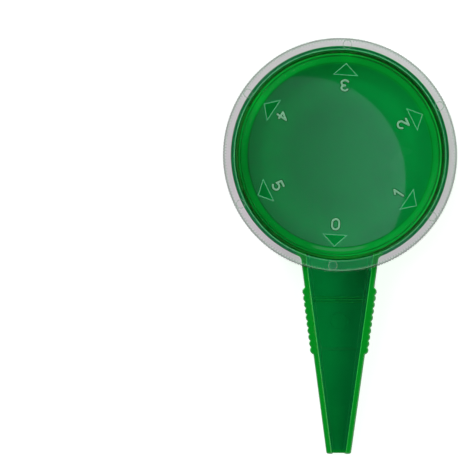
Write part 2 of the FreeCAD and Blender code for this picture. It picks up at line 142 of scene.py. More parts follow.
class SowerBodySizes(bpy.types.PropertyGroup):
    """Sizes of the green dish and its chute."""

    rim_radius: length("Rim radius", "Outer radius of the dish", BODY_HIGH.x)
    rim_wall: length("Rim wall", "Thickness of the dish's wall", 1.6 * MM)
    dish_height: length("Dish height", "Height of the dish's rim above the underside", BODY_HIGH.z)
    dish_floor: length("Dish floor", "Thickness of the dish's floor", 1.6 * MM)
    dish_corner: length("Dish corner", "Round between the dish's wall and its floor", 0.6 * MM)
    underside_round: length("Underside round", "Round of the lower outer edge", 1.2 * MM)
    edge_round: length("Edge round", "Round of the walls' upper edges", 0.28 * MM)
    chute_edge: length("Chute edge", "Round of the chute's upper outer edges", 0.42 * MM)
    groove_level: length("Groove level", "Height of the groove for the dial's bead", 10.5 * MM)
    groove_depth: length("Groove depth", "Depth of the groove for the dial's bead", 0.35 * MM)
    groove_half: length("Groove half width", "Half the width of the groove at the wall", 0.5 * MM)
    chute_reach: length("Chute reach", "Distance of the chute's tip from the dial's axis", -BODY_LOW.y)
    chute_taper: angle("Chute taper", "Angle of each outer side of the chute to its length", 7.7)
    chute_draft: angle("Chute draft", "Lean of the chute's inner walls", 4.5)
    chute_wall: length("Chute wall", "Thickness of the chute's walls at their top", 1.65 * MM)
    tip_width: length("Tip width", "Outer width of the chute's tip", 7.35 * MM)
    tip_height: length("Tip height", "Height of the walls at the tip", 5.2 * MM)
    tip_round: length("Tip round", "Round of the tip's outer corners", 0.7 * MM)
    tip_foot_round: length("Tip foot round", "Round under the ends of the walls", 0.5 * MM)
    tip_setback: length("Tip setback", "How far the floor ends before the walls", 0.2 * MM)
    tip_brow: length("Tip brow", "Round of the walls' upper ends", 0.6 * MM)
    lip_round: length("Lip round", "Round of the floor's end", 0.4 * MM)
    level_end: length("Level end", "Distance where the walls start to fall", 36.0 * MM)
    joint_round: length("Joint round", "Round between the dish and the chute outside", 1.5 * MM)
    mouth_round: length("Mouth round", "Round between the dish and the chute inside", 0.8 * MM)
    mouth_row: length("Mouth row", "Distance where the chute's straight run begins", 32.0 * MM)
    floor_fillet: length("Floor fillet", "Round between the chute's walls and its floor", 0.4 * MM)
    first_step: length("First step", "Distance of the first step in the chute's floor", 57.5 * MM)
    second_step: length("Second step", "Distance of the second step in the chute's floor", 69.0 * MM)
    step_drop: length("Step drop", "Depth of each step", 0.3 * MM)
    ridge_start: length("Ridge start", "Distance of the first cross ridge", 42.3 * MM)
    ridge_pitch: length("Ridge pitch", "Distance from ridge to ridge", 0.75 * MM)
    ridge_count: count("Ridges", "How many cross ridges the chute has", 3)
    ridge_width: length("Ridge width", "Width of a cross ridge", 0.35 * MM)
    ridge_height: length("Ridge height", "Height of a cross ridge", 0.25 * MM)
    step_run: length("Step run", "Length over which a step falls", 1.0 * MM)
    ramp: length("Ramp", "Run of the ridges' steep sides", 0.12 * MM)
    pin_place: length("Pin mark place", "Distance of the round moulding mark", 49.6 * MM)
    pin_radius: length("Pin mark radius", "Radius of the round moulding mark", 2.55 * MM)
    pin_depth: length("Pin mark depth", "Depth of the round moulding mark", 0.15 * MM)
    grip_start: length("Grip start", "Distance of the first finger grip", 40.8 * MM)
    grip_pitch: length("Grip pitch", "Distance from grip to grip", 1.96 * MM)
    grip_count: count("Grips", "How many finger grips each side has", 10)
    grip_radius: length("Grip radius", "Radius of a finger grip", 1.35 * MM)
    grip_proud: length("Grip height", "How far a finger grip stands out", 0.87 * MM)


class SowerDialSizes(bpy.types.PropertyGroup):
    """Sizes of the clear dial and of what is raised on it."""

    dial_radius: length("Dial radius", "Outer radius of the knurled flange", DIAL_HIGH.x)
    flange_low: length("Flange underside", "Height of the flange's underside", 14.1 * MM)
    flange_thickness: length("Flange thickness", "Thickness of the flange", 1.6 * MM)
    flange_edge: length("Flange edge", "Round of the flange's edges", 0.22 * MM)
    crown_top: length("Crown top", "Height of the dial's flat top", 20.0 * MM)
    crown_radius: length("Crown radius", "Outer radius of the crown", 31.1 * MM)
    shoulder_radius: length("Shoulder radius", "Round between the crown's top and side", 3.4 * MM)
    foot_radius: length("Foot radius", "Round between the crown and the flange", 0.5 * MM)
    dial_wall: length("Dial wall", "Thickness of the crown", 1.4 * MM)
    skirt_radius: length("Skirt radius", "Outer radius of the metering skirt", 30.85 * MM)
    skirt_low: length("Skirt underside", "Height of the skirt's lower edge", DIAL_LOW.z)
    skirt_chamfer: length("Skirt chamfer", "Slant of the skirt's lower outer edge", 0.6 * MM)
    bead_level: length("Bead level", "Height of the snap bead", 10.5 * MM)
    bead_proud: length("Bead height", "How far the snap bead stands out", 0.35 * MM)
    knurl_count: count("Knurl grooves", "How many grooves the flange's edge has", 240)
    knurl_depth: length("Knurl depth", "Depth of the knurl's grooves", 0.35 * MM)
    rest_turn: angle("Rest turn", "How far the dial is turned at rest", -3.6)
    settings: count("Settings", "How many numbers the dial has", 6)
    first_notch: length("First notch", "Width of the smallest metering notch", 1.8 * MM)
    notch_step: length("Notch step", "How much wider each next notch is", 1.2 * MM)
    number_radius: length("Number radius", "Distance of the numbers from the dial's axis", 20.7 * MM)
    number_height: length("Number height", "Height of a number", 3.55 * MM)
    number_width: length("Number width", "Width of a number", 2.6 * MM)
    number_stroke: length("Number stroke", "Width of a number's line", 0.5 * MM)
    number_foot: length("Number foot", "Width of the low foot on each side of a number's line", 0.3 * MM)
    foot_height: length("Foot height", "Height of the low foot of a number", 0.05 * MM)
    arrow_tip: length("Arrow tip", "Distance of an arrow's tip from the dial's axis", 27.4 * MM)
    arrow_length: length("Arrow length", "Length of an arrowhead", 3.7 * MM)
    arrow_width: length("Arrow width", "Width of an arrowhead", 7.6 * MM)
    arrow_line: length("Arrow line", "Width of an arrow's line", 0.24 * MM)
    relief: length("Relief", "Height of the numbers and arrows", 0.3 * MM)
    mark_place: length("Mark place", "Distance of the round marks from the dial's axis", 33.0 * MM)
    mark_radius: length("Mark radius", "Radius of the round marks in the flange", 1.28 * MM)
    mark_depth: length("Mark depth", "Depth of the round marks in the flange", 0.15 * MM)
    mark_line: length("Mark line", "Width of the fine lines on the flange", 0.24 * MM)
    edge_inset: length("Edge line inset", "Distance of the flange's fine line from its edge", 0.55 * MM)
    foot_line: length("Foot line", "Radius of the fine line at the crown's foot", 31.6 * MM)


class SowerColours(bpy.types.PropertyGroup):
    """Colours of the sower's plastics, and of the light, shade, highlights and reflection painted on them."""

    green: colour("Green", "Colour of the green plastic in the dish", (0.0, 0.22, 0.033))
    # Painted light: the chute's green is the plastic's own colour made lighter, to make up for the shade
    # between the walls
    chute_green_lit: colour("Deep green", "Colour of the green plastic in the chute", (0.0, 0.26, 0.057))
    # Painted shade: the dish's rim under the flange and the chute's rounded outer edges are drawn in this
    # darker green
    shaded_green: colour("Rim green", "Colour of the green plastic on the dish's rim", (0.003, 0.165, 0.036))
    # Painted light: the walls' tops, the ring inside the dish's wall and the floor's end at the tip are drawn
    # in this lighter green
    lit_green: colour("Edge green", "Colour of the green plastic along its upper edges", (0.0, 0.29, 0.016))
    # Painted highlight: bright lines along the walls' inner edges, the rim, the wall's foot and the cross
    # ridges
    highlight_green: colour("Arris green", "Colour of the line where light gathers at an edge", (0.035, 0.9, 0.1))
    # Painted reflection: the pale arc on the dish's floor beside the chute
    reflection_green: colour("Pale green", "Colour of the pale arc beside the chute", (0.06, 0.38, 0.13))
    green_light: colour("Green light", "Tint of the light let through the green plastic", (0.45, 0.85, 0.5))
    clear: colour("Clear", "Tint of the dial's clear plastic", (0.98, 0.955, 0.98))
    # Painted shade: the flange is drawn with less green, against the green light let through the body onto
    # the floor below it
    brim_shaded_clear: colour("Brim tint", "Tint of the dial's clear plastic in the flange", (0.965, 0.88, 0.945))
    # Painted shade: a dark ring over the crown's side and round the edge of the dial's flat top
    shaded_clear: colour("Edge tint", "Tint of the clear plastic seen edge on", (0.24, 0.18, 0.12))
    # Painted shade: the knurl's grooves are drawn darker
    knurl: colour("Knurl tint", "Tint of the knurled edge", (0.25, 0.25, 0.26))
    # Painted highlights: the clear numbers, arrows and fine lines are drawn in light colours
    number: colour("Number", "Colour of the raised numbers", (0.5, 0.93, 0.65))
    arrow: colour("Arrow", "Colour of the raised arrows", (0.17, 0.8, 0.4))
    fine_line: colour("Fine line", "Colour of the fine raised lines on the flange", (0.28, 0.6, 0.38))
    # Painted shade: the low foot round each stroke of a number is drawn dark
    foot: colour("Foot", "Colour of the low foot of the numbers", (0.0, 0.075, 0.014))


class SowerStageSettings(bpy.types.PropertyGroup):
    """Camera, lamps and floor around the sower."""

    frame_width: length("Frame width", "Width that the camera takes in, level with the dial", 140.15 * MM)
    camera_height: length("Camera height", "Height of the camera above the dial", 2.5)
    camera_turn: angle("Camera turn", "How far the camera is turned about its line of sight", 0.17)
    lamp_size: length("Lamp size", "Width of each soft lamp", 2.4)
    key_power: power("Key power", "Power of the key lamp", 32.0)
    fill_power: power("Fill power", "Power of the fill lamp", 18.0)


# Shells: meshes put together from faces whose corners are given as points

class Shell:
    """Gathers faces and welds corners that lie in the same place."""

    def __init__(self):
        self.places = {}
        self.points = []
        self.faces = []

    def corner(self, point):
        key = tuple(round(value / WELD) for value in point)
        if key not in self.places:
            self.places[key] = len(self.points)
            self.points.append(tuple(point))
        return self.places[key]

    def face(self, points):
        corners = []
        for point in points:
            index = self.corner(point)
            if index not in corners:
                corners.append(index)
        if len(corners) > 2:
            self.faces.append(corners)

    def skin(self, rows, closed=False):
        """Quads between each row of points and the next."""
        following = rows[1:] + rows[:1] if closed else rows[1:]
        for row, after in zip(rows, following):
            for k in range(len(row) - 1):
                self.face((row[k], row[k + 1], after[k + 1], after[k]))

    def prism(self, rings):
        """A closed solid through rings of the same number of points."""
        self.skin([list(points) for points in zip(*rings)], closed=True)
        self.face(rings[0])
        self.face(rings[-1])

    def fan(self, rim, centre, scales):
        """Rings that shrink from a closed rim towards a point, and the fan that closes them."""
        middle = Vector(centre)
        rings = [[middle + (Vector(p) - middle) * scale for p in rim] for scale in (1.0,) + scales]
        for ring, inner in zip(rings, rings[1:]):
            for k in range(len(ring)):
                after = (k + 1) % len(ring)
                self.face((ring[k], ring[after], inner[after], inner[k]))
        last = rings[-1]
        for k in range(len(last)):
            self.face((last[k], last[(k + 1) % len(last)], middle))


def finish_mesh(mesh):
    """Turns the faces outwards, smooths them and keeps edges sharp where they fold."""
    build = bmesh.new()
    build.from_mesh(mesh)
    bmesh.ops.recalc_face_normals(build, faces=build.faces)
    build.to_mesh(mesh)
    build.free()
    mesh.polygons.foreach_set("use_smooth", [True] * len(mesh.polygons))
    mesh.set_sharp_from_angle(angle=SHARP_ANGLE)


def shell_mesh(name, shell):
    mesh = bpy.data.meshes.new(name)
    mesh.from_pydata(shell.points, [], shell.faces)
    finish_mesh(mesh)
    return mesh


def add_object(name, mesh):
    thing = bpy.data.objects.new(name, mesh)
    bpy.context.scene.collection.objects.link(thing)
    return thing


def settle(thing, material, body):
    """Gives a finished piece its material, its body and the slot its finish comes from."""
    thing.data.materials.clear()
    thing.data.materials.append(material)
    weighted = thing.modifiers.new("even_shading", "WEIGHTED_NORMAL")
    weighted.keep_sharp = True
    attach(thing, body)


def cut_away(mesh, cutter, operation="DIFFERENCE"):
    """The mesh that is left when the cutter's shape is taken from it, or put to it."""
    base = add_object("boolean_base", mesh)
    tool = add_object("boolean_tool", cutter)
    boolean = base.modifiers.new("boolean", "BOOLEAN")
    boolean.operation = operation
    boolean.solver = "EXACT"
    boolean.object = tool
    depsgraph = bpy.context.evaluated_depsgraph_get()
    result = bpy.data.meshes.new_from_object(base.evaluated_get(depsgraph))
    for thing in (base, tool):
        bpy.data.objects.remove(thing)
    finish_mesh(result)
    return result


def flat_polar(radius, turn):
    """A point at a radius, turned from the chute's direction towards +X."""
    return Vector((radius * math.sin(turn), -radius * math.cos(turn)))


def circle(radius, steps):
    return [flat_polar(radius, 2 * math.pi * k / steps) for k in range(steps)]


# Green body: stations run round the wall, and each has one column of points from the underside to the floor

def outer_half(sizes, distance):
    """Half the chute's outer width."""
    return sizes.tip_width / 2 + (sizes.chute_reach - distance) * math.tan(sizes.chute_taper)


def inner_half(sizes, distance, level):
    """Half the chute's inner width at a level above the underside."""
    lean = math.tan(sizes.chute_draft)
    tip_half = sizes.tip_width / 2 - sizes.chute_wall + (sizes.dish_height - sizes.tip_height) * lean
    mouth_half = outer_half(sizes, sizes.level_end) - sizes.chute_wall
    widening = (mouth_half - tip_half) / (sizes.chute_reach - sizes.level_end)
    return tip_half + (sizes.chute_reach - distance) * widening - (sizes.dish_height - level) * lean


def round_drop(radius, past):
    """How far a rounded end has fallen at a place past the round's start."""
    if past <= 0:
        return 0.0
    return radius - math.sqrt(max(0.0, radius ** 2 - past ** 2))


def wall_top(sizes, distance):
    """Height of the chute's walls."""
    if distance <= sizes.level_end:
        return sizes.dish_height
    fall = (sizes.dish_height - sizes.tip_height) / (sizes.chute_reach - sizes.level_end)
    brow = round_drop(sizes.tip_brow, distance - sizes.chute_reach + sizes.tip_brow)
    return sizes.dish_height - (distance - sizes.level_end) * fall - brow


def ridge_spans(sizes):
    """Where each cross ridge starts and ends."""
    starts = [sizes.ridge_start + k * sizes.ridge_pitch for k in range(sizes.ridge_count)]
    return [(start, start + sizes.ridge_width) for start in starts]


def pin_span(sizes):
    """Where the stretch of floor that holds the round moulding mark starts and ends."""
    margin = sizes.pin_radius * PIN_MARGIN
    return sizes.pin_place - margin, sizes.pin_place + margin


def floor_level(sizes, distance):
    """Height of the chute's floor, with its steps and cross ridges."""
    level = sizes.dish_floor
    for step in (sizes.first_step, sizes.second_step):
        level -= sizes.step_drop * min(max((distance - step) / sizes.step_run, 0.0), 1.0)
    for start, end in ridge_spans(sizes):
        if start + sizes.ramp / 2 < distance < end - sizes.ramp / 2:
            level += sizes.ridge_height
    past_lip = distance - sizes.chute_reach + sizes.tip_setback + sizes.lip_round
    return level - round_drop(sizes.lip_round, past_lip)


def row_distances(sizes):
    """Distances along the chute where its floor or its walls change."""
    places = [sizes.mouth_row, sizes.level_end, *pin_span(sizes), *SPARE_ROWS]
    for step in (sizes.first_step, sizes.second_step):
        places += [step, step + sizes.step_run]
    for start, end in ridge_spans(sizes):
        places += [start, start + sizes.ramp, end - sizes.ramp, end]
    side = math.cos(sizes.chute_taper)
    for k in range(sizes.grip_count):
        middle = sizes.grip_start + k * sizes.grip_pitch * side
        back = grip_reach(sizes) if k == 0 else sizes.grip_pitch / 2
        front = grip_reach(sizes) if k == sizes.grip_count - 1 else sizes.grip_pitch / 2
        for j in range(GRIP_SAMPLES):
            lean = math.pi / 2 * (2 * j / (GRIP_SAMPLES - 1) - 1)
            places.append(middle + (front if lean > 0 else back) * math.sin(lean) * side)
    places.sort()
    kept = places[:1]
    for place in places[1:]:
        if place - kept[-1] > CLOSEST_ROWS:
            kept.append(place)
    return kept


def grip_reach(sizes):
    """Half the length that a finger grip takes of the wall."""
    inset = sizes.grip_radius - sizes.grip_proud
    return math.sqrt(sizes.grip_radius ** 2 - inset ** 2)


def grip_bulge(sizes, distance):
    """How far the wall stands out at a distance, and which way the surface faces there, along the wall."""
    inset = sizes.grip_radius - sizes.grip_proud
    run = (distance - sizes.grip_start) / math.cos(sizes.chute_taper)
    nearest = min(max(round(run / sizes.grip_pitch), 0), sizes.grip_count - 1)
    along = run - nearest * sizes.grip_pitch
    if abs(along) > grip_reach(sizes) - WELD:
        return 0.0, 0.0
    height = math.sqrt(sizes.grip_radius ** 2 - along ** 2)
    return height - inset, along / sizes.grip_radius


def chute_station(sizes, distance):
    """One station on the right-hand wall of the chute."""
    taper = sizes.chute_taper
    out = Vector((math.cos(taper), -math.sin(taper)))
    along = Vector((-math.sin(taper), -math.cos(taper)))
    low = Vector((outer_half(sizes, distance), -distance))
    bulge, slant = grip_bulge(sizes, distance)
    top = wall_top(sizes, distance)
    floor = floor_level(sizes, distance)
    return {
        "low": low,
        "high": low + out * bulge,
        "out": out,
        "crest": along * slant + out * math.sqrt(1 - slant ** 2),
        "top": Vector((inner_half(sizes, distance, top), -distance)),
        "foot": Vector((inner_half(sizes, distance, floor), -distance)),
        "into": Vector((1, 0)),
        "top_level": top,
        "floor": floor,
        "fillet": sizes.floor_fillet,
        "base": 0.0,
        "round": sizes.underside_round,
        "edge": sizes.chute_edge,
        "groove": 0.0,
        "open": False,
    }


def tip_stations(sizes):
    """Stations round the tip's outer corner, where the walls run on past the floor's end."""
    start = sizes.chute_reach - sizes.tip_round
    corner = outer_half(sizes, start) - sizes.tip_round
    floor_end = sizes.chute_reach - sizes.tip_setback
    foot_start = sizes.chute_reach - sizes.tip_foot_round
    lip_start = floor_end - sizes.lip_round
    lip = [lip_start + sizes.lip_round * math.sin(math.pi / 2 * k / TIP_STEPS) for k in range(TIP_STEPS + 1)]
    turns = [0.0] + [math.asin((place - start) / sizes.tip_round) for place in lip]
    turns += [turns[-1] + (math.pi / 2 - turns[-1]) * k / TIP_STEPS for k in range(1, TIP_STEPS + 1)]
    found = []
    for turn in turns:
        distance = start + sizes.tip_round * math.sin(turn)
        station = chute_station(sizes, distance)
        side = Vector((corner + sizes.tip_round * math.cos(turn), -distance))
        lift = round_drop(sizes.tip_foot_round, distance - foot_start)
        station.update(low=side, high=side, out=Vector((1, 0)), crest=Vector((1, 0)), base=lift)
        station["round"] = min(sizes.underside_round, side.x - station["foot"].x - WALL_END_LEFT)
        station["open"] = distance > floor_end + WELD
        found.append(station)
        if abs(distance - floor_end) < WELD:
            found.append(dict(station, open=True))
    return found[::-1]


def joint_arc(point_on, normal, rim, radius):
    """Points on the arc that joins a line to a circle about the axis, each with the way to its centre."""
    offset = point_on + normal * radius
    along = Vector((normal.y, -normal.x))
    reach = rim + radius
    half = offset.dot(along)
    spread = math.sqrt(half ** 2 - offset.length_squared + reach ** 2)
    run = -half - spread
    if (offset + along * run).y > 0:
        run = -half + spread
    centre = offset + along * run
    start = (-normal).angle_signed(Vector((1, 0)))
    end = (-centre.normalized()).angle_signed(Vector((1, 0)))
    while end - start > math.pi:
        end -= 2 * math.pi
    while start - end > math.pi:
        end += 2 * math.pi
    found = []
    for k in range(JOINT_STEPS + 1):
        turn = start + (end - start) * k / JOINT_STEPS
        way = Vector((math.cos(turn), math.sin(turn)))
        found.append((centre + way * radius, -way))
    return found


def turn_of(point):
    """How far a point is turned from the chute's direction."""
    return math.atan2(point.x, -point.y)


def dish_stations(sizes):
    """Stations from the chute's right-hand wall round the dish to its far side."""
    rim = sizes.rim_radius
    hollow = rim - sizes.rim_wall
    out = Vector((math.cos(sizes.chute_taper), -math.sin(sizes.chute_taper)))
    side = Vector((outer_half(sizes, rim), -rim))
    outer = joint_arc(side, out, rim, sizes.joint_round)
    inner = {}
    for name, level in (("top", sizes.dish_height), ("foot", sizes.dish_floor)):
        near = Vector((inner_half(sizes, hollow, level), -hollow))
        far = Vector((inner_half(sizes, rim, level), -rim))
        normal = Vector((near.y - far.y, far.x - near.x)).normalized()
        inner[name] = joint_arc(near, normal, hollow, sizes.mouth_round)
    shared = {
        "top_level": sizes.dish_height,
        "floor": sizes.dish_floor,
        "base": 0.0,
        "round": sizes.underside_round,
        "edge": sizes.edge_round,
        "open": False,
    }
    found = []
    for k in range(JOINT_STEPS + 1):
        low, way = outer[k]
        share = k / JOINT_STEPS
        station = dict(shared, low=low, high=low, out=way, crest=way, top=inner["top"][k][0])
        station.update(foot=inner["foot"][k][0], into=inner["foot"][k][1], groove=0.0)
        station["fillet"] = sizes.floor_fillet + (sizes.dish_corner - sizes.floor_fillet) * share
        station["edge"] = sizes.chute_edge + (sizes.edge_round - sizes.chute_edge) * share
        found.append(station)
    starts = [turn_of(outer[-1][0]), turn_of(inner["top"][-1][0]), turn_of(inner["foot"][-1][0])]
    for k in range(1, DISH_STEPS + 1):
        low_turn, top_turn, foot_turn = [start + (math.pi - start) * k / DISH_STEPS for start in starts]
        way = flat_polar(1.0, low_turn)
        low = way * rim
        station = dict(shared, low=low, high=low, out=way, crest=way, top=flat_polar(hollow, top_turn))
        station.update(foot=flat_polar(hollow, foot_turn), into=flat_polar(1.0, foot_turn), groove=1.0)
        station["fillet"] = sizes.dish_corner
        found.append(station)
    return found


def rise(flat, level):
    return (flat.x, flat.y, level)


def column(station, sizes):
    """The points of one station, from the underside up the outside, over the wall and down to the floor."""
    edge = sizes.edge_round
    low, high, top, foot = [station[name] for name in ("low", "high", "top", "foot")]
    points = []
    for k in range(ROUND_STEPS + 1):
        turn = math.pi / 2 * k / ROUND_STEPS
        inset = station["round"] * (1 - math.sin(turn))
        level = station["base"] + station["round"] * (1 - math.cos(turn))
        points.append(rise(low - station["out"] * inset, level))
    points.append(rise(high, station["base"] + station["round"]))
    crown = station["top_level"] - edge
    for k in range(EDGE_STEPS + 1):
        turn = math.pi / 2 * k / EDGE_STEPS
        inset = station["edge"] * (1 - math.cos(turn))
        level = station["top_level"] - station["edge"] * (1 - math.sin(turn))
        points.append(rise(high - station["crest"] * inset, level))
    for k in range(EDGE_STEPS, -1, -1):
        turn = math.pi / 2 * k / EDGE_STEPS
        inset = edge * (1 - math.cos(turn))
        points.append(rise(top + station["into"] * inset, crown + edge * math.sin(turn)))
    bottom = station["floor"] + station["fillet"]
    for k in (1, 0, -1):
        level = sizes.groove_level + sizes.groove_half * k
        share = (level - bottom) / (sizes.dish_height - edge - bottom)
        bulge = sizes.groove_depth * station["groove"] if k == 0 else 0.0
        side = foot.lerp(top, share) + station["into"] * bulge
        points.append(rise(side, bottom + (crown - bottom) * share))
    points.append(rise(foot, bottom))
    for k in range(1, CORNER_STEPS + 1):
        if station["open"]:
            points.append(rise(foot, bottom + (station["base"] - bottom) * k / CORNER_STEPS))
            continue
        turn = math.pi / 2 * k / CORNER_STEPS
        reach = station["fillet"] * (1 - math.cos(turn))
        points.append(rise(foot - station["into"] * reach, bottom - station["fillet"] * math.sin(turn)))
    return points


def mirrored(points):
    return [(-x, y, z) for x, y, z in points]


def across(point, shares):
    """A row of points from a point to its mirror image."""
    return [(point[0] * share, point[1], point[2]) for share in shares]


def both_ways(shares):
    return tuple(shares) + tuple(-share for share in reversed(shares))


def pin_mark(shell, sizes, edges):
    """The stretch of the chute's floor that holds the round moulding mark."""
    shares = both_ways(FLOOR_SHARES[1:])
    level = edges[0][2]
    loop = [Vector(p) for p in edges]
    loop += [Vector(p) for p in across(edges[-1], shares)]
    loop += [Vector(p) for p in reversed(mirrored(edges))]
    loop += [Vector(p) for p in reversed(across(edges[0], shares))]
    ring = circle(1.0, PIN_STEPS)
    centre = Vector((0, -sizes.pin_place))
    sunk_radius = sizes.pin_radius - sizes.pin_depth
    hole = [Vector(rise(centre + way * sizes.pin_radius, level)) for way in ring]
    inner = [rise(centre + way * sunk_radius, level - sizes.pin_depth) for way in ring]
    every = loop + hole
    for triangle in tessellate_polygon((loop, hole)):
        shell.face([every[k] for k in triangle])
    shell.skin([[a, b] for a, b in zip(hole, inner)], closed=True)
    shell.face(inner)


def body_shell(sizes):
    """The whole green body as one closed shell."""
    shell = Shell()
    straight = [chute_station(sizes, distance) for distance in reversed(row_distances(sizes))]
    tip = tip_stations(sizes)
    round_dish = dish_stations(sizes)
    stations = tip + straight + round_dish
    columns = [column(station, sizes) for station in stations]
    shell.skin(columns + [mirrored(points) for points in reversed(columns[:-1])])

    floored = [k for k, station in enumerate(stations) if not station["open"]]
    first = floored[0]
    mouth = len(tip) + len(straight) - 1
    runs = range(first, mouth + 1)

    wide = both_ways(FLOOR_SHARES)
    floor_rows = {k: across(columns[k][-1], wide) for k in runs}
    near, far = pin_span(sizes)
    marked = [k for k in runs if near - WELD <= -stations[k]["low"].y <= far + WELD]
    for k in runs[:-1]:
        if not marked[0] <= k < marked[-1]:
            shell.skin([floor_rows[k], floor_rows[k + 1]])
    pin_mark(shell, sizes, [columns[k][-1] for k in reversed(marked)])

    foot_share = stations[first]["foot"].x / columns[first][0][0]
    under = both_ways((1.0,) + tuple(foot_share * share for share in FLOOR_SHARES))
    under_rows = {k: across(columns[k][0], under) for k in runs}
    shell.skin([under_rows[k] for k in runs])

    for rows, index in ((floor_rows, -1), (under_rows, 0)):
        rim = [columns[k][index] for k in range(mouth, len(columns))]
        rim += reversed(mirrored([columns[k][index] for k in range(mouth, len(columns) - 1)]))
        rim += reversed(rows[mouth][1:-1])
        shell.fan(rim, (0, 0, rim[0][2]), DISH_RINGS)

    end = floor_rows[first] + [mirrored([columns[first - 1][-1]])[0]]
    end += list(reversed(under_rows[first][2:-2])) + [columns[first - 1][-1]]
    shell.face(end)
    for turned in (list, mirrored):
        open_columns = [turned(columns[k]) for k in range(first)]
        shell.face(open_columns[0])
        shell.skin([[points[0], points[-1]] for points in open_columns])
    return shell


# Clear dial

def flange_top(sizes):
    return sizes.flange_low + sizes.flange_thickness


def setting_turn(sizes, setting):
    """How far a setting is turned from the chute's direction."""
    return sizes.rest_turn + 2 * math.pi * setting / sizes.settings


def dial_profile(sizes):
    """Radius and height of the dial's section, from the flat top over flange and skirt to the inside."""
    points = []

    def arc(centre, radius, start, end, steps):
        for k in range(steps + 1):
            turn = math.radians(start + (end - start) * k / steps)
            points.append((centre[0] + radius * math.cos(turn), centre[1] + radius * math.sin(turn)))

    flat = sizes.crown_radius - sizes.shoulder_radius
    bend = sizes.crown_top - sizes.shoulder_radius
    low = sizes.flange_low
    high = flange_top(sizes)
    edge = sizes.flange_edge
    foot = sizes.foot_radius
    skirt = sizes.skirt_radius
    inside = sizes.crown_radius - sizes.dial_wall
    arc((flat, bend), sizes.shoulder_radius, 90, 0, SHOULDER_STEPS)
    arc((sizes.crown_radius + foot, high + foot), foot, 180, 270, FOOT_STEPS)
    arc((sizes.dial_radius - edge, high - edge), edge, 90, 0, FLANGE_STEPS)
    arc((sizes.dial_radius - edge, low + edge), edge, 0, -90, FLANGE_STEPS)
    points.append((skirt, low))
    for k in range(SNAP_STEPS + 1):
        turn = math.radians(90 - 180 * k / SNAP_STEPS)
        lift = sizes.bead_proud * math.cos(turn) ** 2
        points.append((skirt + lift, sizes.bead_level + sizes.bead_proud * math.sin(turn)))
    points.append((skirt, sizes.skirt_low + sizes.skirt_chamfer))
    points.append((skirt - sizes.skirt_chamfer, sizes.skirt_low))
    points.append((inside, sizes.skirt_low))
    arc((flat, bend), sizes.shoulder_radius - sizes.dial_wall, 0, 90, INNER_SHOULDER_STEPS)
    return points


def knurl_corners(sizes):
    """How far each corner of the knurl is turned, and how deep it is sunk."""
    pitch = 2 * math.pi / sizes.knurl_count
    for tooth in range(sizes.knurl_count):
        for place in TOOTH_PLACES:
            yield sizes.rest_turn + (tooth + place) * pitch, sizes.knurl_depth if place == 0 else 0.0


def dial_shell(sizes):
    """The dial without its notches and marks: a turned section with a knurled edge."""
    shell = Shell()
    profile = dial_profile(sizes)
    outermost = sizes.dial_radius - sizes.flange_edge - WELD
    rows = []
    for turn, sunk in knurl_corners(sizes):
        row = []
        for radius, level in profile:
            reach = radius - sunk if radius > outermost else radius
            row.append(rise(flat_polar(reach, turn), level))
        rows.append(row)
    shell.skin(rows, closed=True)
    for index in (0, -1):
        shell.fan([row[index] for row in rows], (0, 0, profile[index][1]), CROWN_RINGS)
    return shell


def notch_cutters(sizes):
    """Arched rods that cut the metering notches into the skirt."""
    shell = Shell()
    for setting in range(1, sizes.settings):
        half = (sizes.first_notch + sizes.notch_step * (setting - 1)) / 2
        spring = sizes.skirt_low + half
        out = flat_polar(1.0, setting_turn(sizes, setting))
        side = Vector((-out.y, out.x))
        outline = [(half, sizes.skirt_low - CUT_PAST)]
        for k in range(NOTCH_STEPS + 1):
            bend = math.pi * k / NOTCH_STEPS
            outline.append((half * math.cos(bend), spring + half * math.sin(bend)))
        outline.append((-half, sizes.skirt_low - CUT_PAST))
        shell.prism([
            [rise(out * (sizes.skirt_radius + reach) + side * aside, level) for aside, level in outline]
            for reach in NOTCH_CUT
        ])
    return shell


def mark_cutters(sizes):
    """Shallow cones that sink the round marks into the flange."""
    shell = Shell()
    high = flange_top(sizes)
    section = (
        (sizes.mark_radius, high + CUT_PAST),
        (sizes.mark_radius, high),
        (sizes.mark_radius - sizes.mark_depth, high - sizes.mark_depth),
    )
    for setting in range(sizes.settings):
        centre = flat_polar(sizes.mark_place, setting_turn(sizes, setting))
        shell.prism([
            [rise(centre + way, level) for way in circle(radius, MARK_STEPS)]
            for radius, level in section
        ])
    return shell


# Raised numbers and arrows

def line_section(width, height, foot, foot_height, sunk):
    """Half-round section of a raised line, as places across it and heights, with a low foot on each side."""
    half = 0.5 * width
    section = []
    for k in range(SECTION_STEPS + 1):
        bend = math.pi * k / SECTION_STEPS
        section.append((0.5 * width * math.cos(bend), height * math.sin(bend)))
    if foot:
        section = [(half, foot_height)] + section[1:-1] + [(-half, foot_height)]
        section = [(half + foot, foot_height)] + section + [(-half - foot, foot_height)]
    return [(section[0][0], -sunk)] + section + [(section[-1][0], -sunk)]


def line_caps(point, turned, side, base, section):
    """Rows that round off the end of a raised line."""
    caps = []
    for k in range(1, CAP_STEPS + 1):
        bend = math.pi / 2 * k / CAP_STEPS
        grow = max(0.0, math.cos(bend))
        swing = math.sin(bend)
        caps.append([
            rise(point + turned * (abs(aside) * swing) + side * (aside * grow), base + lift)
            for aside, lift in section
        ])
    return caps


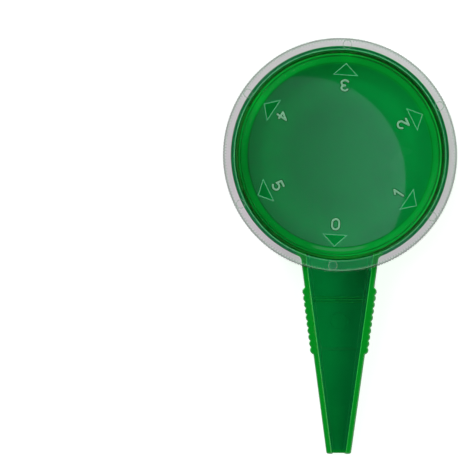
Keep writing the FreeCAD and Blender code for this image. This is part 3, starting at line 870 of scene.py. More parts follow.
def raised_line(
    name, path, width, height, base, closed=True, foot=0.0, foot_height=0.0, sunk=LINE_SUNK_MM * MM
):
    """The mesh of a line along a flat path, with round ends, or mitred where it is closed."""
    section = line_section(width, height, foot, foot_height, sunk)
    rows = []
    total = len(path)
    for k, point in enumerate(path):
        before = path[k - 1] if closed or k > 0 else None
        after = path[(k + 1) % total] if closed or k < total - 1 else None
        ways = []
        if before is not None:
            ways.append((point - before).normalized())
        if after is not None:
            ways.append((after - point).normalized())
        way = sum(ways, Vector((0, 0))).normalized()
        side = Vector((way.y, -way.x))
        stretch = 1 / max(MITRE_LIMIT, way.dot(ways[0]))
        rows.append([rise(point + side * (aside * stretch), base + lift) for aside, lift in section])
        if before is None:
            rows = line_caps(point, -way, side, base, section)[::-1] + rows
        elif after is None:
            rows += line_caps(point, way, side, base, section)
    shell = Shell()
    shell.skin(rows, closed=closed)
    around = rows + rows[:1] if closed else rows
    for row, following in zip(around, around[1:]):
        shell.face((row[0], row[-1], following[-1], following[0]))
    return shell_mesh(name, shell)


def line(*points):
    return [Vector(point) for point in points]


def curve(centre, radii, start, end):
    """Points on an elliptic arc, its angles in degrees."""
    found = []
    for k in range(CURVE_STEPS + 1):
        turn = math.radians(start + (end - start) * k / CURVE_STEPS)
        found.append(Vector((centre[0] + radii[0] * math.cos(turn), centre[1] + radii[1] * math.sin(turn))))
    return found


def number_strokes(number, a, b):
    """The pen strokes of a number that is 2a wide and 2b high, none with a corner, in shares of a and b."""
    bowl = b - a
    strokes = {
        0: [curve((0, bowl), (a, a), 0, 180) + curve((0, -bowl), (a, a), 180, 360) + line((a, bowl))],
        1: [line((-a * 0.6, b - a * 0.8), (a / 4, b)), line((a / 4, b), (a / 4, -b))],
        2: [curve((0, bowl), (a, a), 175, -35) + line((-a, -b)), line((-a, -b), (a, -b))],
        3: [
            curve((0, b * 0.51), (a * 0.92, b * 0.49), 150, -95),
            curve((0, -b / 2), (a, b / 2), 95, -150),
        ],
        4: [line((a / 3, -b), (a / 3, b)), line((a / 3, b), (-a, -b / 3)), line((-a, -b / 3), (a, -b / 3))],
        5: [
            line((a * 0.8, b), (-a * 0.75, b)),
            line((-a * 0.75, b), (-a * 0.8, b * 0.05)),
            curve((-a * 0.05, -b * 0.38), (a, b * 0.62), 142, -140),
        ],
    }
    return strokes[number]


def relief_frame(sizes, setting, radius):
    """How a flat drawing with its foot outwards is laid on the dial."""
    turn = setting_turn(sizes, setting)
    return Matrix.Rotation(turn, 2), flat_polar(radius, turn)


def number_mesh(sizes, name, number):
    """The strokes of a number in one piece. No two strokes share a height, so that they join cleanly."""
    turned, place = relief_frame(sizes, number, sizes.number_radius)
    half_width = (sizes.number_width - sizes.number_stroke) / 2
    half_height = (sizes.number_height - sizes.number_stroke) / 2
    mesh = None
    for k, stroke in enumerate(number_strokes(number, half_width, half_height)):
        path = [place + turned @ point for point in stroke]
        loop = (path[0] - path[-1]).length < LOOP_GAP
        added = raised_line(
            name, path[:-1] if loop else path, sizes.number_stroke, sizes.relief, sizes.crown_top,
            closed=loop, foot=sizes.number_foot, foot_height=sizes.foot_height * (1 - NEXT_FOOT * k),
            sunk=(LINE_SUNK_MM + NEXT_SUNK_MM * k) * MM,
        )
        mesh = cut_away(mesh, added, "UNION") if mesh else added
    return mesh


def arrow_mesh(sizes, name, setting):
    turned, place = relief_frame(sizes, setting, sizes.arrow_tip)
    slope = sizes.arrow_width / 2 / sizes.arrow_length
    inset = sizes.arrow_line / 2
    tip = inset / math.sin(math.atan(slope))
    base = sizes.arrow_length - inset
    half = (base - tip) * slope
    corners = [(0, tip), (half, base), (-half, base)]
    path = [place + turned @ Vector(corner) for corner in corners]
    return raised_line(name, path, sizes.arrow_line, sizes.relief, sizes.crown_top)


def flange_line(sizes, name, path):
    """A fine raised line on the flange."""
    return raised_line(name, path, sizes.mark_line, sizes.mark_line / 2, flange_top(sizes))


def mark_mesh(sizes, name, setting):
    """The fine raised ring round one of the flange's marks."""
    centre = flat_polar(sizes.mark_place, setting_turn(sizes, setting))
    return flange_line(sizes, name, [centre + way for way in circle(sizes.mark_radius, MARK_STEPS)])


def foot_line_mesh(sizes, name):
    """The fine raised line round the crown's foot."""
    return flange_line(sizes, name, circle(sizes.foot_line, FOOT_LINE_STEPS))


def edge_line_mesh(sizes, name):
    """The fine raised line that follows the knurl round the flange."""
    reach = sizes.dial_radius - sizes.edge_inset
    return flange_line(sizes, name, [flat_polar(reach - sunk, turn) for turn, sunk in knurl_corners(sizes)])


# Materials: shades and colours, painted light and shade among them, are worked out for each point from where
# it lies on its piece

# The moulding's marks: how many lie in a metre, which of them hold dust, and how strongly they show
FLOW_MARKS = {"Scale": 90.0, "Detail": 2.0, "Distortion": 0.6}
GRAIN = {"Scale": 2600.0, "Detail": 1.0}
DUST = {"Scale": 420.0}
DUST_SIZE = (0.05, 0.09)
DUST_SPREAD = 37.0
DUST_FREE = 0.8
GRAIN_HEIGHT = 0.06
GREEN_MARKS = 0.25
GREEN_MARK_SHADE = 0.6

# Heights between the chute's floor and its walls, and the mouth's sides and start
WALL_HEIGHTS = (3.2 * MM, 4.8 * MM)
MOUTH_SIDES = (12.3 * MM, 13.3 * MM)
MOUTH_START = (-29 * MM, -27 * MM)

# Rings of painted light, reflection and highlight on the green plastic, from the dish's inner wall: where
# each starts, where it ends and how softly
LIT_RING = (-3 * MM, -0.8 * MM, 0.8 * MM)
REFLECTED_ARC = (-2.9 * MM, -2.3 * MM, 0.3 * MM)
FOOT_LINE = (-0.93 * MM, -0.85 * MM, 0.08 * MM)
RIM_HIGHLIGHT = (0.42 * MM, 0.54 * MM, 0.08 * MM)
RIM_SOFT = 0.05 * MM

# Spans from the dish's inner wall over which the painted light on its wall changes, and over which the
# chute's colour takes over at the mouth
WALL_FOOT = (-1.1 * MM, -0.6 * MM)
OPENING = (0.0, 0.3 * MM)

# From the dial's axis
FLOOR_RADII = (12 * MM, 26 * MM)
BRIM_RADII = (34.5 * MM, 35.0 * MM)

# Across the sower, where the painted light, shade and reflection change
DISH_ACROSS = (-8 * MM, 12 * MM)
ARC_ASIDE = (6 * MM, 9.5 * MM)
TROUGH_ACROSS = (-7 * MM, 5 * MM)
BRIM_ACROSS = (-2 * MM, 7 * MM)

# Along the sower, beside the dish's edge, near the tip and behind its end
CHUTE_BLEND = 1 * MM
TIP_SHADE_START = -60 * MM
LIP = (1.0 * MM, 1.4 * MM)

# Where the cross ridges' painted highlight lies, along the sower and above the floor
RIDGE_SOFT = 0.05 * MM
RIDGE_HEIGHTS = (0.06 * MM, 0.18 * MM)

# Painted light on the dish's ring at its far side, and at two of its corners
FAR_LIGHT = 0.68
CORNER_LIGHT = 0.6

# How strongly each painted light, shade and highlight of the green plastic shows
RING_SHARE = 0.5
FOOT_LINE_SHARE = 0.5
RIM_HIGHLIGHT_SHARE = 0.32
LIP_SHARE = 0.7
RIDGE_SHARE = 0.22
ARRIS_SHARE = 0.9
OUTER_EDGE_SHADE_SHARE = 0.6

# Rings of painted shade and tint on the clear plastic, from the crown's side, from the edge of its flat top
# and from the flange's edge
CROWN_WALL = (-0.85 * MM, 0.05 * MM, 0.08 * MM)
BRIM = (0.4 * MM, 0.8 * MM)
FLAT_EDGE_SHADE = (-0.3 * MM, -0.2 * MM, 0.15 * MM)
KNURL = (-0.58 * MM, -0.4 * MM)

# The shoulder's matt ring starts past the flat top and ends past the crown's side
SHOULDER_START = 0.4 * MM
SHOULDER_END = 0.35 * MM
SHOULDER_SOFT = 0.2 * MM

# Below the flange the dial has no gloss, from this depth on
GLOSS_DEPTH = 0.6 * MM

# How strongly the painted shade round the edge of the dial's flat top and the painted shade of the numbers'
# foot show, and where the foot ends
FLAT_EDGE_SHADE_SHARE = 0.35
FOOT_SHADOW_DENSITY = 0.3
FOOT_CLEAR = 1.1

# Density of the raised lines' painted highlight on their sides and on top, and how upright the surface is at
# both
NUMBER_DENSITY = (0.72, 0.36)
ARROW_DENSITY = (0.36, 0.28)
FINE_LINE_DENSITY = (0.34, 0.26)
SIDE_TO_TOP = (0.6, 0.97)

# How much of the gloss is lost low in the body, along the bright lines, and on the dial's matt areas
SHELTERED_DULL = 0.94
ARRIS_DULL = 0.6
MATT_DULL = 0.96

# Share of the lamps' light that goes through the green plastic
GREEN_LET_THROUGH = 0.9

PLASTIC_IOR = 1.5
THIN_WALL_IOR = 1.02


class Field:
    """A value that varies over a surface: the output of a node, which the usual signs join to others."""

    def __init__(self, nodes, socket):
        self.nodes = nodes
        self.socket = socket

    def __add__(self, other):
        return self.nodes.math("ADD", self, other)

    def __sub__(self, other):
        return self.nodes.math("SUBTRACT", self, other)

    def __rsub__(self, other):
        return self.nodes.math("SUBTRACT", other, self)

    def __mul__(self, other):
        return self.nodes.math("MULTIPLY", self, other)

    def __truediv__(self, other):
        return self.nodes.math("DIVIDE", self, other)

    def __lt__(self, other):
        return self.nodes.math("LESS_THAN", self, other)

    def __gt__(self, other):
        return self.nodes.math("GREATER_THAN", self, other)


class Nodes:
    """Puts nodes into a tree and feeds their inputs."""

    def __init__(self, tree):
        self.tree = tree

    def add(self, kind, feeds=None, **settings):
        """A node with its settings, and with its inputs fed by name or by number."""
        node = self.tree.nodes.new(kind)
        for name, value in settings.items():
            setattr(node, name, value)
        for name, value in (feeds or {}).items():
            self.feed(node.inputs[name], value)
        return node

    def feed(self, socket, value):
        """Links a socket to a field or another socket, or sets it to a number or a colour."""
        if isinstance(value, Field):
            value = value.socket
        if isinstance(value, bpy.types.NodeSocket):
            self.tree.links.new(value, socket)
        elif socket.type == "RGBA":
            socket.default_value = tuple(value)[:3] + (1.0,)
        else:
            socket.default_value = value

    def fields(self, node, names):
        return [Field(self, node.outputs[name]) for name in names]

    def math(self, operation, *values, clamp=False):
        node = self.add("ShaderNodeMath", dict(enumerate(values)), operation=operation, use_clamp=clamp)
        return Field(self, node.outputs[0])

    def larger(self, first, second):
        return self.math("MAXIMUM", first, second)

    def blend(self, factor, first, second):
        """Mixes two colours, each a field or a plain colour."""
        node = self.add("ShaderNodeMix", data_type="RGBA")
        live = [socket for socket in node.inputs if socket.enabled]
        for socket, value in zip(live, (factor, first, second)):
            self.feed(socket, value)
        return Field(self, next(socket for socket in node.outputs if socket.enabled))

    def ramp(self, value, low, high, start=0.0, end=1.0, kind="SMOOTHSTEP"):
        """Goes from start to end while the value goes from low to high."""
        feeds = {"Value": value, "From Min": low, "From Max": high, "To Min": start, "To Max": end}
        node = self.add("ShaderNodeMapRange", feeds, clamp=True, interpolation_type=kind)
        return Field(self, node.outputs["Result"])

    def fade(self, value, low, high):
        return self.ramp(value, low, high, start=1.0, end=0.0)

    def band(self, value, low, high, soft):
        """1 between low and high, and 0 outside them."""
        return self.ramp(value, low - soft, low) * self.fade(value, high, high + soft)

    def parts(self, vector):
        return self.fields(self.add("ShaderNodeSeparateXYZ", {0: vector}), "XYZ")

    def place(self, kind="Object"):
        return self.parts(self.add("ShaderNodeTexCoord").outputs[kind])

    def facing(self):
        return self.parts(self.add("ShaderNodeNewGeometry").outputs["Normal"])

    def scale(self, tint, factor):
        node = self.add("ShaderNodeVectorMath", {0: tint, "Scale": factor}, operation="SCALE")
        return Field(self, node.outputs["Vector"])

    def texture(self, label, kind, output, feeds):
        """A procedural pattern in the piece's own space."""
        place = self.add("ShaderNodeTexCoord").outputs["Object"]
        return Field(self, self.add(kind, dict(feeds, Vector=place), label=label).outputs[output])

    def moulding(self, marks=1.0):
        """Shade, roughness and height of the moulding's marks."""
        node = self.add("ShaderNodeGroup", {"Marks": marks}, node_tree=moulding_finish())
        return self.fields(node, ("Shade", "Roughness", "Height"))

    def mix(self, factor, first, second):
        """Mixes two shaders."""
        return self.add("ShaderNodeMixShader", {0: factor, 1: first.outputs[0], 2: second.outputs[0]})

    def show(self, shader, kind="ShaderNodeOutputMaterial"):
        self.add(kind, {"Surface": shader.outputs[0]})


class Spot:
    """Where a shaded point lies, seen from the dial's axis."""

    def __init__(self, nodes):
        self.nodes = nodes
        self.x, self.y, self.z = nodes.place()
        self.radius = nodes.math("SQRT", self.x * self.x + self.y * self.y)

    def ring(self, radius, near, far, soft):
        """1 in a ring that starts and ends at distances from a radius."""
        return self.nodes.band(self.radius, radius + near, radius + far, soft)

    def past(self, radius, near, far, start=0.0, end=1.0):
        """Goes from start to end between two distances from a radius."""
        return self.nodes.ramp(self.radius, radius + near, radius + far, start, end)


class GreenSpot(Spot):
    """A point of the green body: how it faces, and how far it lies in each of the body's areas."""

    def __init__(self, nodes, sizes):
        super().__init__(nodes)
        rim = sizes.rim_radius
        normal_x, normal_y, self.upright = nodes.facing()
        self.east = self.x / self.radius
        self.north = self.y / self.radius
        self.hollow = rim - sizes.rim_wall
        self.aside = nodes.math("ABSOLUTE", self.x)
        self.chute = nodes.fade(self.y, -rim - CHUTE_BLEND, -rim + CHUTE_BLEND)
        self.raised = nodes.ramp(self.z, *WALL_HEIGHTS)
        self.mouth = nodes.fade(self.aside, *MOUTH_SIDES) * nodes.fade(self.y, *MOUTH_START)
        self.crest = nodes.ramp(self.upright, low=0.55, high=0.95) * self.raised
        self.inward = normal_x * self.x + normal_y * self.y < 0.0
        # Painted highlight along the walls' inner upper edges, which also lose some gloss
        self.arris = nodes.band(self.upright, low=0.3, high=0.8, soft=0.1) * (self.inward * self.raised)
        self.arris = self.arris * nodes.larger(self.chute, self.mouth)
        # Painted shade: the chute's rounded outer edges are drawn darker
        self.outer_edge_shade = nodes.band(self.upright, low=0.2, high=0.75, soft=0.1) * (self.chute * self.raised)
        self.outer_edge_shade = self.outer_edge_shade * (1.0 - self.inward)

    def light(self, level, east, north=None):
        """A painted light of this level, and what it gains towards +X and towards +Y."""
        light = self.east * east + level
        return light if north is None else self.north * north + light


def moulding_finish():
    """A node group for moulded plastic: faint flow marks, fine dust and the height of both."""
    name = "moulding_finish"
    if name in bpy.data.node_groups:
        return bpy.data.node_groups[name]
    group = bpy.data.node_groups.new(name, "ShaderNodeTree")
    group.interface.new_socket("Marks", in_out="INPUT", socket_type="NodeSocketFloat").default_value = 1.0
    for label in ("Shade", "Roughness", "Height"):
        group.interface.new_socket(label, in_out="OUTPUT", socket_type="NodeSocketFloat")
    nodes = Nodes(group)
    marks = Field(nodes, nodes.add("NodeGroupInput").outputs["Marks"])
    flow = nodes.texture("flow marks", "ShaderNodeTexNoise", "Fac", FLOW_MARKS)
    grain = nodes.texture("surface grain", "ShaderNodeTexNoise", "Fac", GRAIN)
    specks = nodes.texture("dust", "ShaderNodeTexVoronoi", "Distance", DUST)
    dust = nodes.fade(specks, *DUST_SIZE) * (nodes.math("FRACT", flow * DUST_SPREAD) > DUST_FREE)
    swing = flow - 0.5
    nodes.add("NodeGroupOutput", {
        "Shade": swing * marks,
        "Roughness": (swing * 0.5 + dust * 0.5) * marks,
        "Height": (grain * GRAIN_HEIGHT + flow) * marks,
    })
    return group


def new_material(name):
    material = bpy.data.materials.new(name)
    material.use_nodes = True
    material.node_tree.nodes.clear()
    return material, Nodes(material.node_tree)


def let_through(nodes, shader, tint, share):
    """Lets a share of the lamps' light through the plastic, tinted by it."""
    through = nodes.add("ShaderNodeBsdfTransparent", {"Color": tint})
    path = nodes.add("ShaderNodeLightPath")
    nodes.show(nodes.mix(nodes.math("MULTIPLY", path.outputs["Is Shadow Ray"], share), shader, through))


def dish_tint(nodes, colours, spot):
    """The dish with painted light and shade: lighter towards its wall and on a ring inside it, darker to the
    left and on the wall's far side, with a painted reflection in a pale arc beside the chute and a painted
    highlight at the wall's foot.
    """
    hollow = spot.hollow
    # Painted light: the floor is drawn lighter towards the wall, more so towards +Y
    outer_light = spot.light(level=0.65, east=-0.1, north=0.25)
    floor_light = nodes.ramp(spot.radius, *FLOOR_RADII) * outer_light + 1.0
    # Painted light: a brighter ring inside the wall, strongest at the far side and at two corners
    ring = spot.ring(hollow, *LIT_RING)
    corner_light = nodes.larger(spot.east * spot.north * -CORNER_LIGHT, 0.0)
    far_light = nodes.larger(spot.north, 0.0) * FAR_LIGHT
    ring_light = far_light + corner_light + spot.light(level=0.32, east=-0.24)
    # Painted shade: the floor is drawn darker to the left
    lit = ring * ring_light + nodes.ramp(spot.x, *DISH_ACROSS, start=0.82) * floor_light
    tint = nodes.scale(nodes.blend(ring * RING_SHARE, colours.green, colours.lit_green), lit)
    # Painted reflection: a pale arc on the floor beside the chute
    arc = spot.ring(hollow, *REFLECTED_ARC) * nodes.ramp(spot.aside, *ARC_ASIDE, start=0.7, end=0.0)
    tint = nodes.blend(arc * (spot.y < 0.0), tint, colours.reflection_green)
    # Painted light and shade on the wall: lighter towards +X and +Y, darker on the opposite side
    wall_light = spot.light(level=1.05, east=0.48, north=0.55)
    tint = nodes.scale(tint, spot.past(hollow, *WALL_FOOT, start=1.0, end=wall_light))
    # Painted highlight: a bright line at the wall's foot
    return nodes.blend(spot.ring(hollow, *FOOT_LINE) * FOOT_LINE_SHARE, tint, colours.highlight_green)


def trough_tint(nodes, sizes, colours, spot):
    """The chute's floor with painted light and shade: painted shade to the right, darker towards the tip,
    painted light below the flange, more so to the right, and at the lip, and a painted highlight on the
    ridges.
    """
    tip = -sizes.chute_reach
    # Painted shade: the chute's floor is drawn darker to the right
    tint = nodes.scale(colours.chute_green_lit, nodes.ramp(spot.x, *TROUGH_ACROSS, start=1.2, end=0.74))
    # Painted light below the flange, stronger to the right
    brim_light = nodes.ramp(spot.x, *BRIM_ACROSS, start=1.85, end=3.2)
    tint = nodes.scale(tint, nodes.ramp(spot.radius, *BRIM_RADII, start=brim_light, end=1.0))
    tint = nodes.scale(tint, nodes.ramp(spot.y, tip, TIP_SHADE_START, start=0.93))
    # Painted light on the floor's rounded end at the tip
    lip = nodes.fade(spot.y, *[tip + behind for behind in LIP])
    tint = nodes.blend(lip * LIP_SHARE, tint, colours.lit_green)
    # Painted highlight on the tops of the cross ridges
    ridges_end = ridge_spans(sizes)[-1][1]
    ridged = nodes.band(spot.y, -ridges_end, -sizes.ridge_start, RIDGE_SOFT)
    on_top = nodes.ramp(spot.z, *[sizes.dish_floor + height for height in RIDGE_HEIGHTS])
    on_top = on_top * nodes.ramp(spot.upright, low=0.7, high=0.95)
    return nodes.blend(ridged * on_top * RIDGE_SHARE, tint, colours.highlight_green)


def crest_tint(nodes, sizes, colours, spot):
    """The walls' upper edges: painted light on their tops, painted shade on the dish's rim, and a painted
    highlight line along it.
    """
    # Painted shade on the dish's rim under the flange, with a painted highlight line along it
    rim = nodes.band(spot.radius, spot.hollow, sizes.rim_radius, RIM_SOFT) * (1.0 - spot.mouth)
    rim_highlight = spot.ring(spot.hollow, *RIM_HIGHLIGHT)
    rim_tint = nodes.blend(rim_highlight * RIM_HIGHLIGHT_SHARE, colours.shaded_green, colours.highlight_green)
    return nodes.blend(rim, colours.lit_green, rim_tint)


def green_plastic(sizes, colours):
    """Glossy translucent green with painted light and shade: its own green lightened in the chute, lit on the
    walls' tops, with painted highlights along the inner edges and painted shade along the chute's outer
    edges.
    """
    material, nodes = new_material("green_plastic")
    spot = GreenSpot(nodes, sizes)
    opening = spot.mouth * spot.past(spot.hollow, *OPENING)
    dish = dish_tint(nodes, colours, spot)
    trough = trough_tint(nodes, sizes, colours, spot)
    tint = nodes.blend(nodes.larger(spot.chute, opening), dish, trough)
    # Painted light on the walls' tops, painted highlights along their inner edges and painted shade along the
    # chute's outer edges
    tint = nodes.blend(spot.crest, tint, crest_tint(nodes, sizes, colours, spot))
    tint = nodes.blend(spot.arris * ARRIS_SHARE, tint, colours.highlight_green)
    tint = nodes.blend(spot.outer_edge_shade * OUTER_EDGE_SHADE_SHARE, tint, colours.shaded_green)
    shade, roughness, height = nodes.moulding(GREEN_MARKS)
    sheltered = nodes.ramp(spot.upright, low=0.02, high=0.2) * (1.0 - spot.raised)
    dull = nodes.larger(sheltered * SHELTERED_DULL, spot.arris * ARRIS_DULL)
    bump = nodes.add("ShaderNodeBump", {"Strength": 0.15, "Distance": 0.05 * MM, "Height": height})
    shader = nodes.add("ShaderNodeBsdfPrincipled", {
        "Base Color": nodes.scale(tint, shade * GREEN_MARK_SHADE + 1.0),
        "Roughness": nodes.math("ADD", roughness, 0.25, clamp=True),
        "IOR": PLASTIC_IOR,
        "Normal": bump.outputs["Normal"],
        "Specular IOR Level": 0.1,
        "Coat Weight": 1.0 - dull,
        "Coat Roughness": 0.14,
        "Coat IOR": PLASTIC_IOR,
    })
    let_through(nodes, shader, colours.green_light, GREEN_LET_THROUGH)
    return material


def inside_arrows(nodes, sizes, spot, turn):
    """1 inside the arrowheads, and 0 outside them."""
    sector = 2 * math.pi / sizes.settings
    folded = nodes.math("WRAP", turn, sector / 2, -sector / 2)
    aside = nodes.math("ABSOLUTE", spot.radius * nodes.math("SINE", folded))
    outward = spot.radius * nodes.math("COSINE", folded)
    room = (sizes.arrow_tip - outward) * (sizes.arrow_width / 2 / sizes.arrow_length)
    return (room - aside > 0.0) * (outward > sizes.arrow_tip - sizes.arrow_length)


def clear_plastic(sizes, colours):
    """Clear moulded plastic with painted shade: a dark ring where its side is seen edge on and round the flat
    top's edge, darker knurl grooves and a less green flange; matt inside the arrows.

    Light goes straight through its thin walls, and its gloss is all in the coat."""
    material, nodes = new_material("clear_plastic")
    spot = Spot(nodes)
    crown = sizes.crown_radius
    flat = crown - sizes.shoulder_radius
    turn = nodes.math("ARCTAN2", spot.x, spot.y * -1.0) - sizes.rest_turn
    # Painted shade: the knurl's grooves are drawn darker near the flange's edge
    grooves = nodes.math("COSINE", turn * sizes.knurl_count)
    knurl = spot.past(sizes.dial_radius, *KNURL) * nodes.ramp(grooves, low=-0.6, high=0.6, start=0.5)
    # Painted shade over the crown's side and round the edge of the flat top
    tint = nodes.blend(spot.ring(crown, *CROWN_WALL), colours.clear, colours.shaded_clear)
    tint = nodes.blend(spot.ring(flat, *FLAT_EDGE_SHADE) * FLAT_EDGE_SHADE_SHARE, tint, colours.shaded_clear)
    # Painted shade: less green in the flange
    tint = nodes.blend(spot.past(crown, *BRIM), tint, colours.brim_shaded_clear)
    tint = nodes.blend(knurl, tint, colours.knurl)
    shoulder = nodes.band(spot.radius, flat + SHOULDER_START, crown + SHOULDER_END, SHOULDER_SOFT)
    matt = nodes.larger(inside_arrows(nodes, sizes, spot, turn), shoulder)
    outside = nodes.ramp(spot.z, sizes.flange_low - GLOSS_DEPTH, sizes.flange_low)
    shader = nodes.add("ShaderNodeBsdfPrincipled", {
        "Base Color": tint,
        "Roughness": 0.02,
        "IOR": THIN_WALL_IOR,
        "Transmission Weight": 1.0,
        "Coat Weight": (1.0 - matt * MATT_DULL) * outside,
        "Coat Roughness": 0.01,
        "Coat IOR": PLASTIC_IOR,
    })
    let_through(nodes, shader, tint, 1.0)
    return material


def relief_plastic(name, tint, densities, foot=None):
    """The raised lines on the dial: clear plastic drawn in a light colour as a painted highlight, denser on
    its rounded sides than on top.

    A foot is given as the colour of its painted shade, its density and the height that it ends at."""
    material, nodes = new_material(name)
    # Painted highlight: denser on the rounded sides than on top
    density = nodes.ramp(nodes.facing()[2], *SIDE_TO_TOP, *densities)
    # The foot is drawn dark round the strokes as painted shade
    if foot:
        foot_shadow_tint, foot_density, foot_top = foot
        low = nodes.place()[2] < foot_top
        tint = nodes.blend(low, tint, foot_shadow_tint)
        density = density * (1.0 - low) + low * foot_density
    roughness = nodes.moulding()[1]
    nodes.show(nodes.add("ShaderNodeBsdfPrincipled", {
        "Base Color": tint,
        "Roughness": nodes.math("ADD", roughness, 0.3, clamp=True),
        "Alpha": density,
    }))
    return material


# Operators

class SOWER_OT_add_body(bpy.types.Operator):
    """Builds the green dish with its chute, finger grips and floor ridges"""

    bl_idname = "sower.add_body"
    bl_label = "Green Body"
    bl_options = {"REGISTER", "UNDO"}

    def execute(self, context):
        sizes = context.scene.sower_body_sizes
        mesh = shell_mesh("dish_and_chute", body_shell(sizes))
        thing = add_object("dish_and_chute", mesh)
        settle(thing, green_plastic(sizes, context.scene.sower_colours), "sower")
        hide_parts("sower_body")
        return {"FINISHED"}


class SOWER_OT_add_dial(bpy.types.Operator):
    """Builds the clear dial with its knurled flange, metering notches and round marks"""

    bl_idname = "sower.add_dial"
    bl_label = "Clear Dial"
    bl_options = {"REGISTER", "UNDO"}

    def execute(self, context):
        sizes = context.scene.sower_dial_sizes
        mesh = shell_mesh("clear_dial", dial_shell(sizes))
        mesh = cut_away(mesh, shell_mesh("notches", notch_cutters(sizes)))
        mesh = cut_away(mesh, shell_mesh("marks", mark_cutters(sizes)))
        mesh.name = "clear_dial"
        thing = add_object("clear_dial", mesh)
        settle(thing, clear_plastic(sizes, context.scene.sower_colours), "dial")
        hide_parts("dial")
        return {"FINISHED"}


class SOWER_OT_add_relief(bpy.types.Operator):
    """Builds the raised numbers and arrows on the dial"""

    bl_idname = "sower.add_relief"
    bl_label = "Numbers and Arrows"
    bl_options = {"REGISTER", "UNDO"}

    def execute(self, context):
        sizes = context.scene.sower_dial_sizes
        colours = context.scene.sower_colours
        # The numbers' foot carries a painted shade round each stroke
        foot = (colours.foot, FOOT_SHADOW_DENSITY, sizes.crown_top + sizes.foot_height * FOOT_CLEAR)
        # The numbers, arrows and fine lines are drawn light as painted highlights
        numbers = relief_plastic("number_relief", colours.number, NUMBER_DENSITY, foot)
        arrows = relief_plastic("arrow_relief", colours.arrow, ARROW_DENSITY)
        lines = relief_plastic("fine_line_relief", colours.fine_line, FINE_LINE_DENSITY)
        for setting in range(sizes.settings):
            for kind, mesh_of, finish in (
                ("number", number_mesh, numbers), ("arrow", arrow_mesh, arrows), ("mark", mark_mesh, lines)
            ):
                name = "dial_%s_%d" % (kind, setting)
                settle(add_object(name, mesh_of(sizes, name, setting)), finish, "dial")
        # The fine lines round the flange's edge and the crown's foot are painted highlights too
        for name, mesh_of, finish in (
            ("dial_edge_line", edge_line_mesh, lines), ("dial_foot_line", foot_line_mesh, arrows)
        ):
            settle(add_object(name, mesh_of(sizes, name)), finish, "dial")
        return {"FINISHED"}


# Stage: places are from the dial's axis, and the card is the face of the soft overhead light

CAMERA_PLACE = (-31.24 * MM, -23.94 * MM)
KEY_PLACE = (-1.3, 1.2, 1.7)
FILL_PLACE = (1.5, -0.9, 1.5)
CARD_PLACE = (12.7 * MM, 12.3 * MM)
CARD_RADIUS = 67.8 * MM
CARD_STEPS = 96
CARD_HEIGHT = 1.2
CARD_COLOUR = (0.4, 0.32, 0.74)
CARD_SPAN = (-45 * MM, 65 * MM)
CARD_DARK_SIDE = 0.15

# The floor's size, its gap below the sower, its shade and glow, and how it shows through the plastic
FLOOR_HALF = 3.0
FLOOR_CELLS = 8
FLOOR_GAP = 0.1 * MM
FLOOR_SHADE = 0.72
FLOOR_GLOW = 0.64
FLOOR_THROUGH_PLASTIC = 0.54
FLOOR_SHADE_LOST = 0.4

# The studio is dark straight above: between these heights in the sky its light falls to what is left
SKY_SPAN = (0.45, 0.95)
SKY_LEFT = 0.005


def add_lamp(name, place, size, power):
    """A soft round lamp that points at the sower."""
    data = bpy.data.lights.new(name, "AREA")
    data.shape = "DISK"
    data.size = size
    data.energy = power
    lamp = add_object(name, data)
    lamp.location = place
    lamp.rotation_euler = (-lamp.location).to_track_quat("-Z", "Y").to_euler()
    lamp.visible_camera = False


def add_flat(name, place, material, make, **shape):
    """A flat piece of the stage, made by one of bmesh's own functions."""
    mesh = bpy.data.meshes.new(name)
    build = bmesh.new()
    make(build, **shape)
    build.to_mesh(mesh)
    build.free()
    mesh.materials.append(material)
    flat = add_object(name, mesh)
    flat.location = place
    return flat


def paint_floor():
    """A pale floor that shows white and keeps the shadow on it."""
    material, nodes = new_material("stage_floor")
    path = nodes.add("ShaderNodeLightPath")
    camera, glossy, through = nodes.fields(path, ("Is Camera Ray", "Is Glossy Ray", "Is Transmission Ray"))
    matte = nodes.add("ShaderNodeBsdfDiffuse", {"Color": (1.0 - through * FLOOR_SHADE_LOST) * FLOOR_SHADE})
    mirrored_in = nodes.math("SUBTRACT", glossy, through, clamp=True)
    seen = nodes.larger(camera, nodes.larger(mirrored_in, through * FLOOR_THROUGH_PLASTIC))
    glow = nodes.add("ShaderNodeEmission", {"Strength": seen * FLOOR_GLOW})
    nodes.show(nodes.add("ShaderNodeAddShader", {0: matte.outputs[0], 1: glow.outputs[0]}))
    return material


def paint_softbox():
    """The face of the soft overhead light, brighter towards one side."""
    material, nodes = new_material("stage_softbox")
    strength = nodes.ramp(nodes.place()[0], *CARD_SPAN, start=CARD_DARK_SIDE, kind="LINEAR")
    nodes.show(nodes.add("ShaderNodeEmission", {"Color": CARD_COLOUR, "Strength": strength}))
    return material


def light_world(scene):
    """A studio that is dark straight above and pale towards the sides, and shows white behind the object."""
    world = bpy.data.worlds.new("studio")
    scene.world = world
    world.use_nodes = True
    world.node_tree.nodes.clear()
    nodes = Nodes(world.node_tree)
    height = nodes.place("Generated")[2]
    strength = nodes.ramp(height, *SKY_SPAN, start=1.0, end=SKY_LEFT)
    studio = nodes.add("ShaderNodeBackground", {"Strength": strength})
    seen = nodes.add("ShaderNodeLightPath").outputs["Is Camera Ray"]
    nodes.show(nodes.mix(seen, studio, nodes.add("ShaderNodeBackground")), "ShaderNodeOutputWorld")


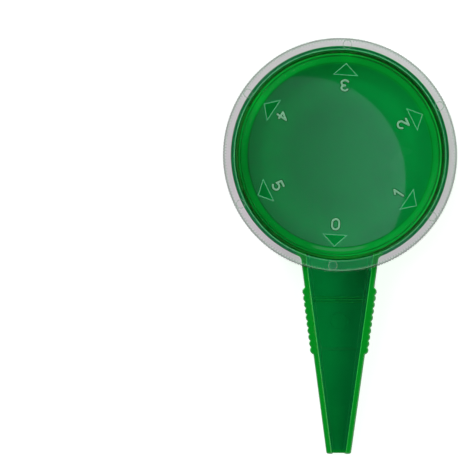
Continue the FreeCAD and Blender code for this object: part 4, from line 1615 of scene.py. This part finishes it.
class SOWER_OT_add_stage(bpy.types.Operator):
    """Sets up the floor, the soft lamps, the white surroundings and the camera"""

    bl_idname = "sower.add_stage"
    bl_label = "Stage"
    bl_options = {"REGISTER", "UNDO"}

    def execute(self, context):
        scene = context.scene
        stage = scene.sower_stage
        dial = scene.sower_dial_sizes
        floor = add_flat(
            "stage_floor", (0, 0, -FLOOR_GAP), paint_floor(), bmesh.ops.create_grid,
            x_segments=FLOOR_CELLS, y_segments=FLOOR_CELLS, size=FLOOR_HALF,
        )
        card = add_flat(
            "stage_softbox", (*CARD_PLACE, dial.crown_top + CARD_HEIGHT * stage.camera_height),
            paint_softbox(), bmesh.ops.create_circle,
            cap_ends=True, segments=CARD_STEPS, radius=CARD_RADIUS,
        )
        add_lamp("key_lamp", KEY_PLACE, stage.lamp_size, stage.key_power)
        add_lamp("fill_lamp", FILL_PLACE, stage.lamp_size, stage.fill_power)
        light_world(scene)

        data = bpy.data.cameras.new("camera")
        camera = add_object("camera", data)
        camera.location = (*CAMERA_PLACE, dial.flange_low + stage.camera_height)
        camera.rotation_euler.z = stage.camera_turn
        data.lens = data.sensor_width * stage.camera_height / stage.frame_width
        scene.camera = camera
        scene.view_settings.view_transform = "Standard"
        return {"FINISHED"}


class SOWER_PT_panel(bpy.types.Panel):
    """Lists the sower's pieces, sizes and colours"""

    bl_idname = "SOWER_PT_panel"
    bl_label = "Seed Sower"
    bl_space_type = "VIEW_3D"
    bl_region_type = "UI"
    bl_category = "Seed Sower"

    def draw(self, context):
        layout = self.layout
        for piece in PIECES:
            layout.operator(piece.bl_idname)
        for name in SETTINGS:
            group = getattr(context.scene, name)
            box = layout.box()
            box.label(text=type(group).__doc__)
            for prop in group.bl_rna.properties:
                if prop.identifier not in ("rna_type", "name"):
                    box.prop(group, prop.identifier)


PIECES = (SOWER_OT_add_body, SOWER_OT_add_dial, SOWER_OT_add_relief, SOWER_OT_add_stage)
SETTINGS = {
    "sower_body_sizes": SowerBodySizes,
    "sower_dial_sizes": SowerDialSizes,
    "sower_colours": SowerColours,
    "sower_stage": SowerStageSettings,
}


def register():
    for name, group in SETTINGS.items():
        bpy.utils.register_class(group)
        setattr(bpy.types.Scene, name, PointerProperty(type=group))
    for piece in PIECES:
        bpy.utils.register_class(piece)
    bpy.utils.register_class(SOWER_PT_panel)


def unregister():
    bpy.utils.unregister_class(SOWER_PT_panel)
    for piece in reversed(PIECES):
        bpy.utils.unregister_class(piece)
    for name, group in SETTINGS.items():
        delattr(bpy.types.Scene, name)
        bpy.utils.unregister_class(group)


def main():
    register()
    bpy.ops.sower.add_body()
    bpy.ops.sower.add_dial()
    bpy.ops.sower.add_relief()
    bpy.ops.sower.add_stage()
    bpy.context.view_layer.update()


if __name__ == "__main__":
    main()
